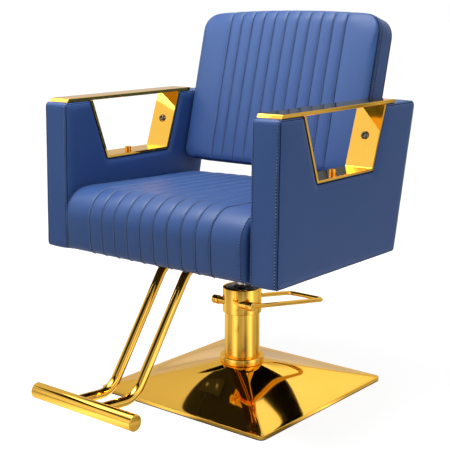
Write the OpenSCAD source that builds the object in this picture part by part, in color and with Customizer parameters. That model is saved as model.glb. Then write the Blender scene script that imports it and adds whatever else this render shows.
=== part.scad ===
// Styling chair: square pressed base, hydraulic pump with a foot pedal, upholstered
// seat between two box arms, reclined back, and a T-bar footrest.
// Origin: centre of the pump on the floor. The sitter faces -Y, Z is up.

/* [Base] */
// Side of the square base
base_side = 504; // [440:2:580]
// Radius of the base's four corners
base_corner_r = 14; // [6:1:40]
// Height of the rim of the pressed cover above the floor
base_rim_h = 11; // [9:0.5:16]
// Height at which the pressed cover ends under the collar
base_top_z = 66; // [56:1:90]
// Sheet thickness of the pressed cover
cover_t = 2; // [1.5:0.1:3]
// Thickness of the rubber strip under the base
gasket_t = 3; // [2:0.5:5]
// Width of the rubber strip
gasket_w = 16; // [8:1:30]
// Thickness of the steel bottom plate
bottom_plate_t = 4; // [3:0.5:6]
// Radius of the cast weight on the bottom plate
weight_r = 118; // [80:1:125]
// Thickness of the cast weight
weight_t = 14; // [8:1:18]

/* [Pump] */
// Outer radius of the pump cylinder
cylinder_r = 43.5; // [38:0.5:46]
// Wall of the pump cylinder
cylinder_wall = 3.5; // [2.5:0.5:5]
// Outer radius of the upper sleeve
sleeve_r = 48.5; // [46:0.5:54]
// Wall of the upper sleeve
sleeve_wall = 4.4; // [3.5:0.1:6]
// Height of the sleeve's lower edge
sleeve_bottom_z = 196; // [180:1:200]
// Height of the sleeve's top edge
sleeve_top_z = 259; // [252:1:270]
// Outer radius of the collar ring on the base
collar_r = 55; // [50:0.5:64]
// Height of the collar ring
collar_h = 18; // [10:1:26]
// Radius of the chrome ram
ram_r = 13; // [11:0.5:15]
// Radius of the black plastic top cap
top_cap_r = 41; // [36:0.5:42]
// Radius of the pressure tube's bore
pressure_bore_r = 20; // [18:0.5:22]

/* [Pedal] */
// Distance of the pedal shaft in front of the pump axis
pedal_y = 35; // [33:0.5:36]
// Height of the pedal shaft
pedal_z = 224; // [220:1:230]
// Radius of the pedal shaft
pedal_shaft_r = 6.5; // [5:0.5:6.5]
// Radius of the knobs at the shaft's ends
pedal_knob_r = 11; // [9:0.5:13]
// Reach of the pedal loop behind the shaft
pedal_reach = 322; // [260:2:360]
// Distance from the middle to each rod of the loop
pedal_half_w = 54.5; // [54:0.5:60]
// Radius of the pedal rod
pedal_rod_r = 5.8; // [4:0.1:6.4]
// Droop of the loop at rest
pedal_droop = 9.4; // [4:0.1:16]

/* [Seat] */
// Half of the width between the arms
seat_half_w = 271; // [250:1:290]
// Height of the underside of the arms and of the seat board
seat_bottom_z = 374; // [368:1:390]
// Height of the seat cushion's top at its front edge
seat_top_z = 524; // [505:1:540]
// How much lower the seat cushion's top is at the rear
seat_drop = 14; // [0:1:24]
// Distance from the pump axis to the front of the seat cushion
seat_front = 345; // [330:1:360]
// Distance from the pump axis to the rear of the seat cushion
seat_rear = 130; // [110:1:150]
// Radius of the waterfall front edge
waterfall_r = 66; // [40:1:80]
// Number of stitched seams in the seat cushion
seat_seams = 10; // [6:1:12]
// Share of the seat cushion's half width that lies outside its outer seams
seat_edge_share = 0.328; // [0.25:0.004:0.4]
// Depth of a sewn channel
channel_depth = 3; // [1:0.5:5]
// Thickness of the plywood seat board
board_t = 15; // [12:1:20]

/* [Back] */
// Gap between the back and each arm
back_side_gap = 6; // [4:0.5:12]
// Height of the back cushion's lower edge
back_bottom_z = 552; // [548:1:580]
// Length of the back cushion along its recline
back_length = 390; // [330:1:440]
// Recline of the back from the vertical
back_recline = 14.5; // [8:0.5:20]
// Distance of the front face's lower edge behind the pump axis
back_front_y = 86; // [76:1:96]
// Thickness of the back's cushion
back_cushion_t = 48; // [36:1:60]
// Thickness of the back's rear shell
back_shell_t = 24; // [20:1:30]
// Number of stitched seams in the back cushion
back_seams = 11; // [7:2:13]
// Share of the back's half width that lies outside its outer seams
back_edge_share = 0.347; // [0.28:0.001:0.44]

/* [Arms] */
// Thickness of an upholstered arm
arm_t = 74; // [60:1:84]
// Height of an arm from its underside to its top
arm_h = 346; // [320:1:370]
// Distance from the pump axis to the front edge of an arm
arm_front = 329; // [315:1:340]
// Distance from the pump axis to the rear edge of an arm at its foot
arm_rear_foot = 138; // [128:1:160]
// Distance from the pump axis to the rear edge of an arm at its top
arm_rear_top = 217; // [205:1:240]
// Radius of the arm's soft edges
arm_edge_r = 7; // [3:0.5:10]
// Depth of the arm's window below the arm's top
window_depth = 143; // [110:1:170]
// Front corner of the window at the arm's top, ahead of the pump axis
window_front = 236; // [210:1:260]
// Rear corner of the window at the arm's top, behind the pump axis
window_rear = 84; // [60:1:100]
// How far each slanted side of the window leans in
window_lean = 50; // [20:1:60]
// Thickness of the metal liner in the window
liner_t = 5.5; // [4:0.5:8]
// Thickness of the metal arm cap
cap_t = 8.5; // [6:0.5:12]
// Width of the metal arm cap
cap_w = 62; // [50:1:68]
// Front end of the cap, ahead of the pump axis
cap_front = 311; // [290:1:318]
// Rear end of the cap, behind the pump axis
cap_rear = 131; // [110:1:150]

/* [Footrest] */
// Outer radius of the two footrest tubes
tube_r = 11; // [9:0.5:13]
// Distance from the middle to each tube
tube_half_w = 36; // [30:1:50]
// Half of the length of the T-bar
bar_half_l = 150; // [120:1:190]
// Radius of the T-bar
bar_r = 18; // [14:0.5:22]
// Distance of the T-bar ahead of the pump axis
bar_front = 545; // [500:1:580]
// Height of the T-bar's centre
bar_z = 111; // [95:1:130]

/* [Hidden] */

// Running clearance of a shaft or ram in its bore
run_gap = 0.05;
// Clearance between pieces that are assembled and stay put
fit_gap = 0.02;
// Clearance between a soft piece and what carries it
soft_gap = 0.3;
// Clearance round a bolt or shaft that passes through a wall
pass_gap = 0.5;
// Overrun of every cut
over = 1;
// Rounding of a sharp metal edge
edge = 1;

gold = "#d9a520";
dark_steel = "#2b2b2d";
leather = "#53699f";

// Base
base_half = base_side/2;
plate_top = gasket_t + bottom_plate_t;
weight_top = plate_top + weight_t;
cover_neck_r = 52;
cover_bore_r = cylinder_r + 2*edge;
cover_rings = 11;
cover_curve = 1.1;
corner_steps = 4;
side_steps = 6;
collar_top = base_top_z + collar_h;
collar_chamfer = 3;
foot_r = 68;
foot_t = 10;
foot_top = weight_top + foot_t;
foot_bolt_ring = 56;
foot_bolt_r = 5;
foot_bolt_head_r = 8;
foot_bolt_head_h = 6;
foot_bolt_depth = 10;

// Pump
cylinder_top = sleeve_bottom_z + 10*edge;
sleeve_bore_r = sleeve_r - sleeve_wall;
head_top = sleeve_top_z - 9*edge;
tube_wall = 4;
bush_r = ram_r + 4*edge;
bush_bottom = cylinder_top + 8*edge;
piston_h = 18;
ram_bottom = foot_top + edge;
ram_spigot_z = 345;
cap_dome = 2;
boss_r = 17;
boss_top = sleeve_top_z + 6*edge;
boss_lobes = 8;
lobe_r = 4.2;

// Pedal
pin_boss_r = 9.5;
pin_boss_end = 43.5;
knob_end = pedal_half_w + pedal_rod_r + edge;
knob_start = pin_boss_end + edge/2;
loop_start = pedal_knob_r - 6*edge;
loop_corner_r = 20;

// Seat
board_bottom = seat_bottom_z;
board_top = board_bottom + board_t;
board_front = seat_front - 61*edge;
board_rear = seat_rear - 4*edge;
cushion_half_w = seat_half_w - 3*edge;
seat_seam_pitch = 2*cushion_half_w*(1 - seat_edge_share)/(seat_seams - 1);
cushion_bottom = seat_bottom_z + 2*edge;
cushion_crown = 8;
cushion_steps = 5;
seat_step = 75;
draw_shares = [0.45, 0.15];
groove_share = 0.2;
cushion_draw = 15;
cushion_foot_y = seat_front - 7*edge;
rear_corner_r = 24;
front_foot_r = 20;
plate_t = 6;
plate_bottom = board_bottom - plate_t;
plate_half_w = 105;
plate_half_l = 115;
plate_corner_r = 12;
socket_r = 24;
socket_bottom = 288;
socket_bore_top = ram_spigot_z + 4*edge;
gusset_t = 6;
gusset_reach = 70;
bolt_r = 4;
bolt_head_r = 6.5;
bolt_head_h = 5;
bolt_grip = 12;
seat_bolt_x = 85;
seat_bolt_y = 92;

// Arms
arm_top = seat_bottom_z + arm_h;
arm_lean = 8;
arm_corner_r = 9;
arm_curve_steps = 4;
cap_bottom = arm_top + edge;
cap_bevel = 6;
liner_inset = 1.5;
liner_corner_r = 5;
window_foot = arm_top - window_depth;
strap_w = 40;
strap_half_l = 45;
strap_t = 3;
strap_ys = [-230, 70];
screw_r = 3;
screw_head_r = 5;
screw_head_h = 2.5;
screw_grip = 10;
liner_bolt_r = 4.5;
liner_bolt_head_r = 9.5;
liner_bolt_head_h = 5;
liner_bolt_grip = 22;
window_slope = window_lean/window_depth;
liner_leg_w = liner_t*norm([1, window_slope]);
floor_bolt_head_r = 8;
floor_bolt_head_h = 9;
floor_bolt_y = (window_rear - window_front)/2;
leg_bolt_share = 0.525;
leg_bolt_z = window_foot + leg_bolt_share*window_depth;

// Back
back_half_w = seat_half_w - back_side_gap;
back_seam_pitch = 2*back_half_w*(1 - back_edge_share)/(back_seams - 1);
back_corner_r = 45;
back_foot_r = 24;
back_crown = 10;
back_front_crown = 7;
back_edge_r = 20;
back_side_draw = 12;
shell_half_w = back_half_w - edge;
shell_corner_r = 50;
shell_top_r = 3900;
shell_back_v = back_cushion_t + back_shell_t;
back_step = 60;
shell_edge = 8;
shell_steps = 3;
spacer_r = 8;
spacer_bore_r = 4;
spacer_shares = [0.26, 0.78];
spacer_us = [
    for (share = spacer_shares)
        (share*(arm_top - back_bottom_z) + (back_cushion_t + spacer_r)*sin(back_recline))
            /cos(back_recline)
];
back_bolt_grip = 12;

// Footrest
tube_sides = 16;
bend_steps = 6;
bracket_t = 4;
run_z = board_bottom - bracket_t - tube_r - fit_gap;
bracket_half_w = tube_half_w + 32*edge;
bracket_front = 226;
bracket_rear = plate_half_l + 5*edge;
tube_rear = bracket_rear + 8*edge;
knee_y = 244;
ankle_y = 430;
ankle_z = 101;
knee_r = 50;
ankle_r = 60;
tube_tip = bar_front - bar_r + 8*edge;
bar_wall = 2.5;
bar_cap_t = 5;
bar_plug = 8;
rest_bolt_x = tube_half_w + 20*edge;
rest_bolt_ys = [-210, -136];

// Vector of length one along v
function unit(v) = v/norm(v);

// Points of a fillet of radius r at corner b between a and c, in the plane or in space
function bend(a, b, c, r, n) =
    let (u = unit(a - b), v = unit(c - b), half = acos(u*v)/2,
         start = b + u*(r/tan(half)), centre = b + unit(u + v)*(r/sin(half)),
         e = unit(start - centre), sweep = 180 - 2*half)
    [for (i = [0:n]) centre + r*(cos(sweep*i/n)*e - sin(sweep*i/n)*u)];

// Closed outline whose corner i has the radius radii[i]
function outline(points, radii, n) =
    let (m = len(points))
    [for (i = [0:m - 1])
        each radii[i] > 0
            ? bend(points[(i + m - 1)%m], points[i], points[(i + 1)%m], radii[i], n)
            : [points[i]]];

// Open route through points with inner corners rounded by radii
function route(points, radii, n) =
    [for (i = [0:len(points) - 1])
        each i == 0 || i == len(points) - 1
            ? [points[i]]
            : bend(points[i - 1], points[i], points[i + 1], radii[i], n)];

// Rectangle with round corners, counter-clockwise
function round_rect(half_x, half_y, r, n) =
    outline([[-half_x, -half_y], [half_x, -half_y], [half_x, half_y], [-half_x, half_y]],
            [r, r, r, r], n);

// Solid through rings of equal length. closed joins the last ring to the first,
// otherwise hubs are the middles of the two end faces.
module loft(rings, closed = false, hubs = []) {
    n = len(rings);
    m = len(rings[0]);
    sides = [for (k = [0:closed ? n - 1 : n - 2]) for (j = [0:m - 1])
        let (a = k*m + j, b = k*m + (j + 1)%m, c = ((k + 1)%n)*m + (j + 1)%m, d = ((k + 1)%n)*m + j)
        each [[a, c, b], [a, d, c]]];
    mids = closed ? [] : len(hubs) == 2 ? hubs : [middle(rings[0]), middle(rings[n - 1])];
    ends = closed ? [] : [for (j = [0:m - 1])
        each [[n*m, j, (j + 1)%m], [n*m + 1, (n - 1)*m + (j + 1)%m, (n - 1)*m + j]]];
    polyhedron(concat([for (r = rings) each r], mids), concat(sides, ends), convexity = 6);
}

// Mean of a list of points
function middle(points, i = 0, sum = [0, 0, 0]) =
    i == len(points) ? sum/len(points) : middle(points, i + 1, sum + points[i]);

// Round rod swept along a route that lies in a plane with the normal ref
module rod(path, r, sides, ref) {
    last = len(path) - 1;
    loft([for (i = [0:last])
        let (t = unit(path[min(i + 1, last)] - path[max(i - 1, 0)]), side = unit(cross(ref, t)))
        [for (j = [0:sides - 1])
            path[i] + r*(cos(360*j/sides)*side + sin(360*j/sides)*ref)]]);
}

// Body that mirrors to the chair's other side
module both_sides() {
    for (m = [0, 1]) mirror([m, 0, 0]) children();
}

// Rubber strip that the base stands on
module base_gasket() color("#141414") {
    difference() {
        linear_extrude(gasket_t)
            polygon(round_rect(base_half - edge, base_half - edge, base_corner_r - edge, corner_steps));
        translate([0, 0, -over])
            linear_extrude(gasket_t + 2*over)
                polygon(round_rect(base_half - gasket_w, base_half - gasket_w,
                                   base_corner_r/2, corner_steps));
    }
}

// Flat steel plate that closes the base from below
module base_plate() color(dark_steel) {
    half = base_half - cover_t - edge/2;
    translate([0, 0, gasket_t])
        linear_extrude(bottom_plate_t)
            polygon(round_rect(half, half, base_corner_r - cover_t, corner_steps));
}

// Cast disc that keeps the chair from tipping
module base_weight() color("#3a3a3c") {
    difference() {
        translate([0, 0, plate_top]) {
            cylinder(h = weight_t - edge, r = weight_r, $fn = 64);
            cylinder(h = weight_t, r = weight_r - 4*edge, $fn = 64);
        }
        at_foot_bolts()
            translate([0, 0, weight_top - foot_bolt_depth - fit_gap])
                cylinder(h = foot_bolt_depth + over, r = foot_bolt_r + fit_gap, $fn = 32);
    }
}

// Places children on the four bolts of the pump's flange
module at_foot_bolts() {
    for (a = [45:90:315])
        rotate([0, 0, a])
            translate([foot_bolt_ring, 0, 0])
                children();
}

// Square ring of the pressed cover, blended to a circle of radius neck_r by share s
function cover_ring(half, corner, s, neck_r, z) =
    let (square = [for (q = [0:3]) each quarter(half, corner, q)])
    [for (p = square) let (c = neck_r*unit(p), w = s) [p[0]*(1 - w) + c[0]*w, p[1]*(1 - w) + c[1]*w, z]];

// One side and one corner of the square ring, turned by q quarter turns
function quarter(half, corner, q) =
    let (flat = half - corner,
         side = [for (i = [0:side_steps - 1]) [half, -flat + 2*flat*i/side_steps]],
         turn = [for (i = [0:corner_steps - 1]) [flat + corner*cos(90*i/corner_steps),
                                                  flat + corner*sin(90*i/corner_steps)]])
    [for (p = concat(side, turn)) [p[0]*cos(90*q) - p[1]*sin(90*q), p[0]*sin(90*q) + p[1]*cos(90*q)]];

// Height of the pressed face at share s of the way from the rim to the neck
function cover_z(s) = base_rim_h + (base_top_z - base_rim_h)*pow(s, cover_curve);

// Pressed cover: square rim, hollow faces with ridges that fade into a round neck
module base_cover() color(gold) {
    rim = base_half;
    skin = [for (k = [0:cover_rings]) let (s = k/cover_rings)
        cover_ring(rim - edge, base_corner_r - edge, s, cover_neck_r, cover_z(s))];
    lining = [for (k = [cover_rings:-1:0]) let (s = k/cover_rings)
        cover_ring(rim - cover_t, base_corner_r - cover_t, s, cover_neck_r - cover_t,
                   cover_z(s) - cover_t)];
    loft(concat(
        [cover_ring(rim - cover_t, base_corner_r - cover_t, 0, cover_neck_r, gasket_t)],
        [cover_ring(rim, base_corner_r, 0, cover_neck_r, gasket_t)],
        [cover_ring(rim, base_corner_r, 0, cover_neck_r, base_rim_h - edge)],
        skin,
        [cover_ring(rim, base_corner_r, 1, cover_bore_r, base_top_z)],
        [cover_ring(rim, base_corner_r, 1, cover_bore_r, base_top_z - cover_t)],
        lining
    ), closed = true);
}

// Bright ring that covers the joint of the pump and the base
module base_collar() color(gold) {
    bore = cylinder_r + fit_gap;
    rotate_extrude($fn = 96)
        polygon([[bore, base_top_z], [collar_r, base_top_z], [collar_r, collar_top - collar_chamfer],
                 [collar_r - collar_chamfer, collar_top], [bore, collar_top]]);
}

// Flange that bolts the pump to the base
module pump_foot() color(dark_steel) {
    difference() {
        translate([0, 0, weight_top])
            cylinder(h = foot_t, r = foot_r, $fn = 64);
        translate([0, 0, weight_top - over])
            cylinder(h = foot_t + 2*over, r = cylinder_r - cylinder_wall - edge, $fn = 64);
        at_foot_bolts()
            translate([0, 0, weight_top - over])
                cylinder(h = foot_t + 2*over, r = foot_bolt_r + fit_gap, $fn = 32);
    }
}

// Hexagon bolts of the pump's flange
module foot_bolts() color("#8a8a8c") {
    at_foot_bolts() {
        translate([0, 0, weight_top - foot_bolt_depth])
            cylinder(h = foot_bolt_depth + foot_t + edge, r = foot_bolt_r, $fn = 32);
        translate([0, 0, foot_top])
            cylinder(h = foot_bolt_head_h, r = foot_bolt_head_r, $fn = 6);
    }
}

// Outer cylinder of the pump
module pump_cylinder() color(gold) {
    difference() {
        translate([0, 0, foot_top])
            cylinder(h = cylinder_top - foot_top, r = cylinder_r, $fn = 96);
        translate([0, 0, foot_top - over])
            cylinder(h = cylinder_top - foot_top + 2*over, r = cylinder_r - cylinder_wall, $fn = 96);
    }
}

// Inner tube in which the piston slides
module pressure_tube() color("#9a9a9c") {
    difference() {
        translate([0, 0, weight_top])
            cylinder(h = cylinder_top - weight_top, r = pressure_bore_r + tube_wall, $fn = 64);
        translate([0, 0, foot_top])
            cylinder(h = cylinder_top - foot_top + over, r = pressure_bore_r, $fn = 64);
    }
}

// Block inside the sleeve that carries the guide bush and the pedal shaft
module pump_head() color("#8f9194") {
    difference() {
        translate([0, 0, cylinder_top])
            cylinder(h = head_top - cylinder_top, r = sleeve_bore_r - fit_gap, $fn = 96);
        translate([0, 0, cylinder_top - over])
            cylinder(h = head_top - cylinder_top + 2*over, r = ram_r + pass_gap, $fn = 64);
        translate([0, 0, bush_bottom])
            cylinder(h = head_top - bush_bottom + over, r = bush_r + fit_gap, $fn = 64);
        translate([-sleeve_r, -pedal_y, pedal_z])
            rotate([0, 90, 0])
                cylinder(h = 2*sleeve_r, r = pedal_shaft_r + run_gap, $fn = 48);
    }
}

// Plain bearing of the ram
module guide_bush() color("#c9b27a") {
    difference() {
        translate([0, 0, bush_bottom])
            cylinder(h = head_top - bush_bottom, r = bush_r, $fn = 64);
        translate([0, 0, bush_bottom - over])
            cylinder(h = head_top - bush_bottom + 2*over, r = ram_r + run_gap, $fn = 64);
    }
}

// Upper sleeve with the two bosses of the pedal shaft
module pump_sleeve() color(gold) {
    difference() {
        union() {
            rotate_extrude($fn = 96)
                polygon(outline([[0, sleeve_bottom_z], [sleeve_r, sleeve_bottom_z],
                                 [sleeve_r, sleeve_top_z], [0, sleeve_top_z]],
                                [0, edge, 2*edge, 0], corner_steps));
            translate([-pin_boss_end, -pedal_y, pedal_z])
                rotate([0, 90, 0])
                    cylinder(h = 2*pin_boss_end, r = pin_boss_r, $fn = 48);
        }
        translate([0, 0, sleeve_bottom_z - over])
            cylinder(h = head_top + over - sleeve_bottom_z, r = sleeve_bore_r, $fn = 96);
        translate([0, 0, head_top - over])
            cylinder(h = sleeve_top_z - head_top + 2*over, r = top_cap_r + fit_gap, $fn = 96);
        translate([-pin_boss_end - over, -pedal_y, pedal_z])
            rotate([0, 90, 0])
                cylinder(h = 2*pin_boss_end + 2*over, r = pedal_shaft_r + run_gap, $fn = 48);
    }
}

// Black plastic cap with a lobed boss round the ram
module pump_cap() color("#161616") {
    difference() {
        union() {
            rotate_extrude($fn = 96)
                polygon([[0, head_top], [top_cap_r, head_top], [top_cap_r, sleeve_top_z - cap_dome],
                         [top_cap_r - 2*cap_dome, sleeve_top_z], [boss_r, sleeve_top_z + cap_dome],
                         [0, sleeve_top_z + cap_dome]]);
            cylinder(h = boss_top, r = boss_r, $fn = 64);
            for (i = [0:boss_lobes - 1])
                rotate([0, 0, 360*i/boss_lobes])
                    translate([boss_r, 0, head_top])
                        cylinder(h = boss_top - 2*edge - head_top, r = lobe_r, $fn = 24);
        }
        translate([0, 0, -over])
            cylinder(h = boss_top + 2*over, r = ram_r + pass_gap, $fn = 64);
        translate([0, 0, -over])
            cylinder(h = head_top + over, r = 2*top_cap_r, $fn = 64);
    }
}

// Chrome ram with its piston at the lower end
module ram() color("#c8ccd2") {
    rotate_extrude($fn = 96)
        polygon([[0, ram_bottom], [pressure_bore_r - run_gap, ram_bottom],
                 [pressure_bore_r - run_gap, ram_bottom + piston_h],
                 [ram_r, ram_bottom + piston_h + 4*edge],
                 [ram_r, ram_spigot_z - edge], [ram_r - edge, ram_spigot_z], [0, ram_spigot_z]]);
}

// Washer on the ram's top that carries the turning seat
module thrust_washer() color("#c9a25a") {
    translate([0, 0, ram_spigot_z])
        cylinder(h = socket_bore_top - ram_spigot_z - run_gap, r = ram_r - edge, $fn = 64);
}

// Shaft of the pedal with a knob at each end
module pedal_shaft() color(gold) {
    translate([0, -pedal_y, pedal_z])
        difference() {
            rotate([0, 90, 0]) {
                translate([0, 0, -knob_end + edge])
                    cylinder(h = 2*(knob_end - edge), r = pedal_shaft_r, $fn = 48);
                for (m = [0, 1])
                    mirror([0, 0, m]) {
                        translate([0, 0, knob_start])
                            cylinder(h = knob_end - edge - knob_start, r = pedal_knob_r, $fn = 48);
                        translate([0, 0, knob_end - edge])
                            cylinder(h = edge, r1 = pedal_knob_r, r2 = pedal_knob_r - edge, $fn = 48);
                    }
            }
            both_sides()
                rotate([-90 - pedal_droop, 0, 0])
                    translate([pedal_half_w, 0, loop_start - fit_gap])
                        cylinder(h = 2*pedal_knob_r, r = pedal_rod_r + fit_gap, $fn = 48);
        }
}

// Foot loop, one bent rod whose ends sit in the knobs
module pedal_loop() color(gold) {
    path = route([[pedal_half_w, loop_start, 0], [pedal_half_w, pedal_reach, 0],
                  [-pedal_half_w, pedal_reach, 0], [-pedal_half_w, loop_start, 0]],
                 [0, loop_corner_r, loop_corner_r, 0], bend_steps);
    translate([0, -pedal_y, pedal_z])
        rotate([-pedal_droop, 0, 0])
            rod(path, pedal_rod_r, tube_sides, [0, 0, 1]);
}

// Steel plate under the seat with the socket that turns on the ram
module seat_plate() color(dark_steel) {
    difference() {
        union() {
            translate([0, 0, plate_bottom])
                linear_extrude(plate_t)
                    polygon(round_rect(plate_half_w, plate_half_l, plate_corner_r, corner_steps));
            translate([0, 0, socket_bottom])
                cylinder(h = plate_bottom + edge - socket_bottom, r = socket_r, $fn = 64);
            for (a = [45:90:315])
                rotate([0, 0, a])
                    translate([0, gusset_t/2, 0])
                        rotate([90, 0, 0])
                            linear_extrude(gusset_t)
                                polygon([[socket_r - 2*edge, socket_bottom + socket_r],
                                         [gusset_reach, plate_bottom - edge],
                                         [gusset_reach, plate_bottom + edge],
                                         [socket_r - 2*edge, plate_bottom + edge]]);
        }
        translate([0, 0, socket_bottom - over])
            cylinder(h = socket_bore_top - socket_bottom + over, r = ram_r + run_gap, $fn = 64);
        for (x = [-seat_bolt_x, seat_bolt_x], y = [-seat_bolt_y, seat_bolt_y])
            translate([x, y, plate_bottom - over])
                cylinder(h = plate_t + 2*over, r = bolt_r + fit_gap, $fn = 32);
    }
}

// Bolt with a hexagon head below z, pointing up
module hex_bolt(x, y, z, grip) {
    translate([x, y, z - bolt_head_h])
        cylinder(h = bolt_head_h, r = bolt_head_r, $fn = 6);
    translate([x, y, z - edge])
        cylinder(h = grip + edge, r = bolt_r, $fn = 32);
}

// Bolts of the seat plate
module seat_bolts() color("#8a8a8c") {
    for (x = [-seat_bolt_x, seat_bolt_x], y = [-seat_bolt_y, seat_bolt_y])
        hex_bolt(x, y, plate_bottom, bolt_grip);
}

// Plywood board that the cushion, the arms and the plates are fixed to
module seat_board() color("#b58d5a") {
    difference() {
        translate([-seat_half_w, -board_front, board_bottom])
            cube([2*seat_half_w, board_front + board_rear, board_t]);
        for (x = [-seat_bolt_x, seat_bolt_x], y = [-seat_bolt_y, seat_bolt_y])
            bolt_hole(x, y, bolt_grip - plate_t, bolt_r);
        for (x = [-rest_bolt_x, rest_bolt_x], y = rest_bolt_ys)
            bolt_hole(x, y, bolt_grip - bracket_t, bolt_r);
        both_sides()
            for (y = strap_ys)
                bolt_hole(seat_half_w - strap_half_l/2, y, screw_grip - strap_t, screw_r);
    }
}

// Blind hole for a fastener in the board's underside
module bolt_hole(x, y, depth, r) {
    translate([x, y, board_bottom - over])
        cylinder(h = depth + over + fit_gap, r = r + fit_gap, $fn = 32);
}

// Width-wise stations of a channelled cushion as [place, inset]: sides drawn in, seams sunk
function stations(half_w, seams, pitch, draw) =
    let (side = [[0, draw], [2*edge, draw*draw_shares[0]], [8*edge, draw*draw_shares[1]],
                 [22*edge, 0]])
    concat([for (s = side) [s[0] - half_w, s[1]]],
           [for (k = [0:seams - 1]) let (x = (k - (seams - 1)/2)*pitch)
               each [[x - groove_share*pitch, 0], [x, channel_depth], [x + groove_share*pitch, 0]]],
           [for (k = [3:-1:0]) [half_w - side[k][0], side[k][1]]]);

// Outline with its long edges split so that no edge is longer than step
function dense(points, step) =
    let (m = len(points))
    [for (i = [0:m - 1])
        let (a = points[i], b = points[(i + 1)%m], n = ceil(norm(b - a)/step))
        for (k = [0:n - 1]) a + (b - a)*k/n];

// Unit vector that points into a counter-clockwise outline at point j
function inward(points, j) =
    let (m = len(points), t = unit(points[(j + 1)%m] - points[(j + m - 1)%m]))
    [-t[1], t[0]];

// Side profile of the seat cushion, as [y, z]
function seat_profile() =
    dense(outline([[seat_rear, board_top + soft_gap], [seat_rear, seat_top_z - seat_drop],
                   [-seat_front, seat_top_z], [-cushion_foot_y, cushion_bottom],
                   [-board_front - soft_gap, cushion_bottom],
                   [-board_front - soft_gap, board_top + soft_gap]],
                  [0, rear_corner_r, waterfall_r, front_foot_r, 0, 0], cushion_steps), seat_step);

// How far point p of the seat's profile follows the channels, from 0 underneath to 1 on top
function seat_share(p) =
    p[1] <= board_top + 2*soft_gap && p[0] > -board_front - edge ? 0
        : min(1, max(0, (p[1] - cushion_bottom)/front_foot_r));

// Seat cushion with a waterfall front, sewn channels and drawn-in sides
module seat_cushion() color(leather) {
    profile = seat_profile();
    places = stations(cushion_half_w, seat_seams, seat_seam_pitch, cushion_draw);
    hub = [-board_front - front_foot_r, board_top + 2*front_foot_r];
    loft([for (s = places)
        let (crown = cushion_crown*cos(90*s[0]/cushion_half_w))
        [for (j = [0:len(profile) - 1])
            let (p = profile[j], q = p + seat_share(p)*(s[1] - crown)*inward(profile, j))
            [s[0], q[0], q[1]]]],
        hubs = [[-cushion_half_w, hub[0], hub[1]], [cushion_half_w, hub[0], hub[1]]]);
}

// Flat plate that clamps the footrest under the seat board
module footrest_bracket() color(dark_steel) {
    difference() {
        translate([-bracket_half_w, -bracket_front, board_bottom - bracket_t])
            cube([2*bracket_half_w, bracket_front - bracket_rear, bracket_t]);
        for (x = [-rest_bolt_x, rest_bolt_x], y = rest_bolt_ys)
            translate([x, y, board_bottom - bracket_t - over])
                cylinder(h = bracket_t + 2*over, r = bolt_r + fit_gap, $fn = 32);
    }
}

// Bolts of the footrest's plate
module footrest_bolts() color("#8a8a8c") {
    for (x = [-rest_bolt_x, rest_bolt_x], y = rest_bolt_ys)
        hex_bolt(x, y, board_bottom - bracket_t, bolt_grip);
}

// Two bent tubes from the seat down to the T-bar
module footrest_tubes() color(gold) {
    for (x = [-tube_half_w, tube_half_w])
        rod(route([[x, -tube_rear, run_z], [x, -knee_y, run_z], [x, -ankle_y, ankle_z],
                   [x, -tube_tip, bar_z]],
                  [0, knee_r, ankle_r, 0], bend_steps), tube_r, tube_sides, [1, 0, 0]);
}

// T-bar for the feet
module footrest_bar() color(gold) {
    half = bar_half_l - bar_cap_t;
    difference() {
        translate([-half, -bar_front, bar_z])
            rotate([0, 90, 0])
                cylinder(h = 2*half, r = bar_r, $fn = 64);
        translate([-half - over, -bar_front, bar_z])
            rotate([0, 90, 0])
                cylinder(h = 2*half + 2*over, r = bar_r - bar_wall, $fn = 64);
        for (x = [-tube_half_w, tube_half_w])
            translate([x, -tube_tip, bar_z])
                rotate([atan2(tube_tip - ankle_y, bar_z - ankle_z), 0, 0])
                    translate([0, 0, -bar_r])
                        cylinder(h = bar_r + fit_gap, r = tube_r + fit_gap, $fn = 48);
    }
}

// Plugs that close the T-bar's ends
module footrest_caps() color(gold) {
    both_sides()
        translate([bar_half_l, -bar_front, bar_z])
            rotate([0, -90, 0])
                rotate_extrude($fn = 64)
                    polygon([[0, 0], [bar_r - 2*edge, 0], [bar_r, 2*edge], [bar_r, bar_cap_t],
                             [bar_r - bar_wall - fit_gap, bar_cap_t],
                             [bar_r - bar_wall - fit_gap, bar_cap_t + bar_plug],
                             [0, bar_cap_t + bar_plug]]);
}

// Side outline of an arm with its open window, as [y, z]
function arm_outline() =
    outline([[-arm_front, seat_bottom_z], [arm_rear_foot, seat_bottom_z], [arm_rear_top, arm_top],
             [window_rear, arm_top], [window_rear - window_lean, window_foot],
             [window_lean - window_front, window_foot], [-window_front, arm_top],
             [arm_lean - arm_front, arm_top]],
            [arm_corner_r, edge, arm_corner_r, 0, liner_corner_r, liner_corner_r, 0, arm_corner_r],
            arm_curve_steps);

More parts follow.
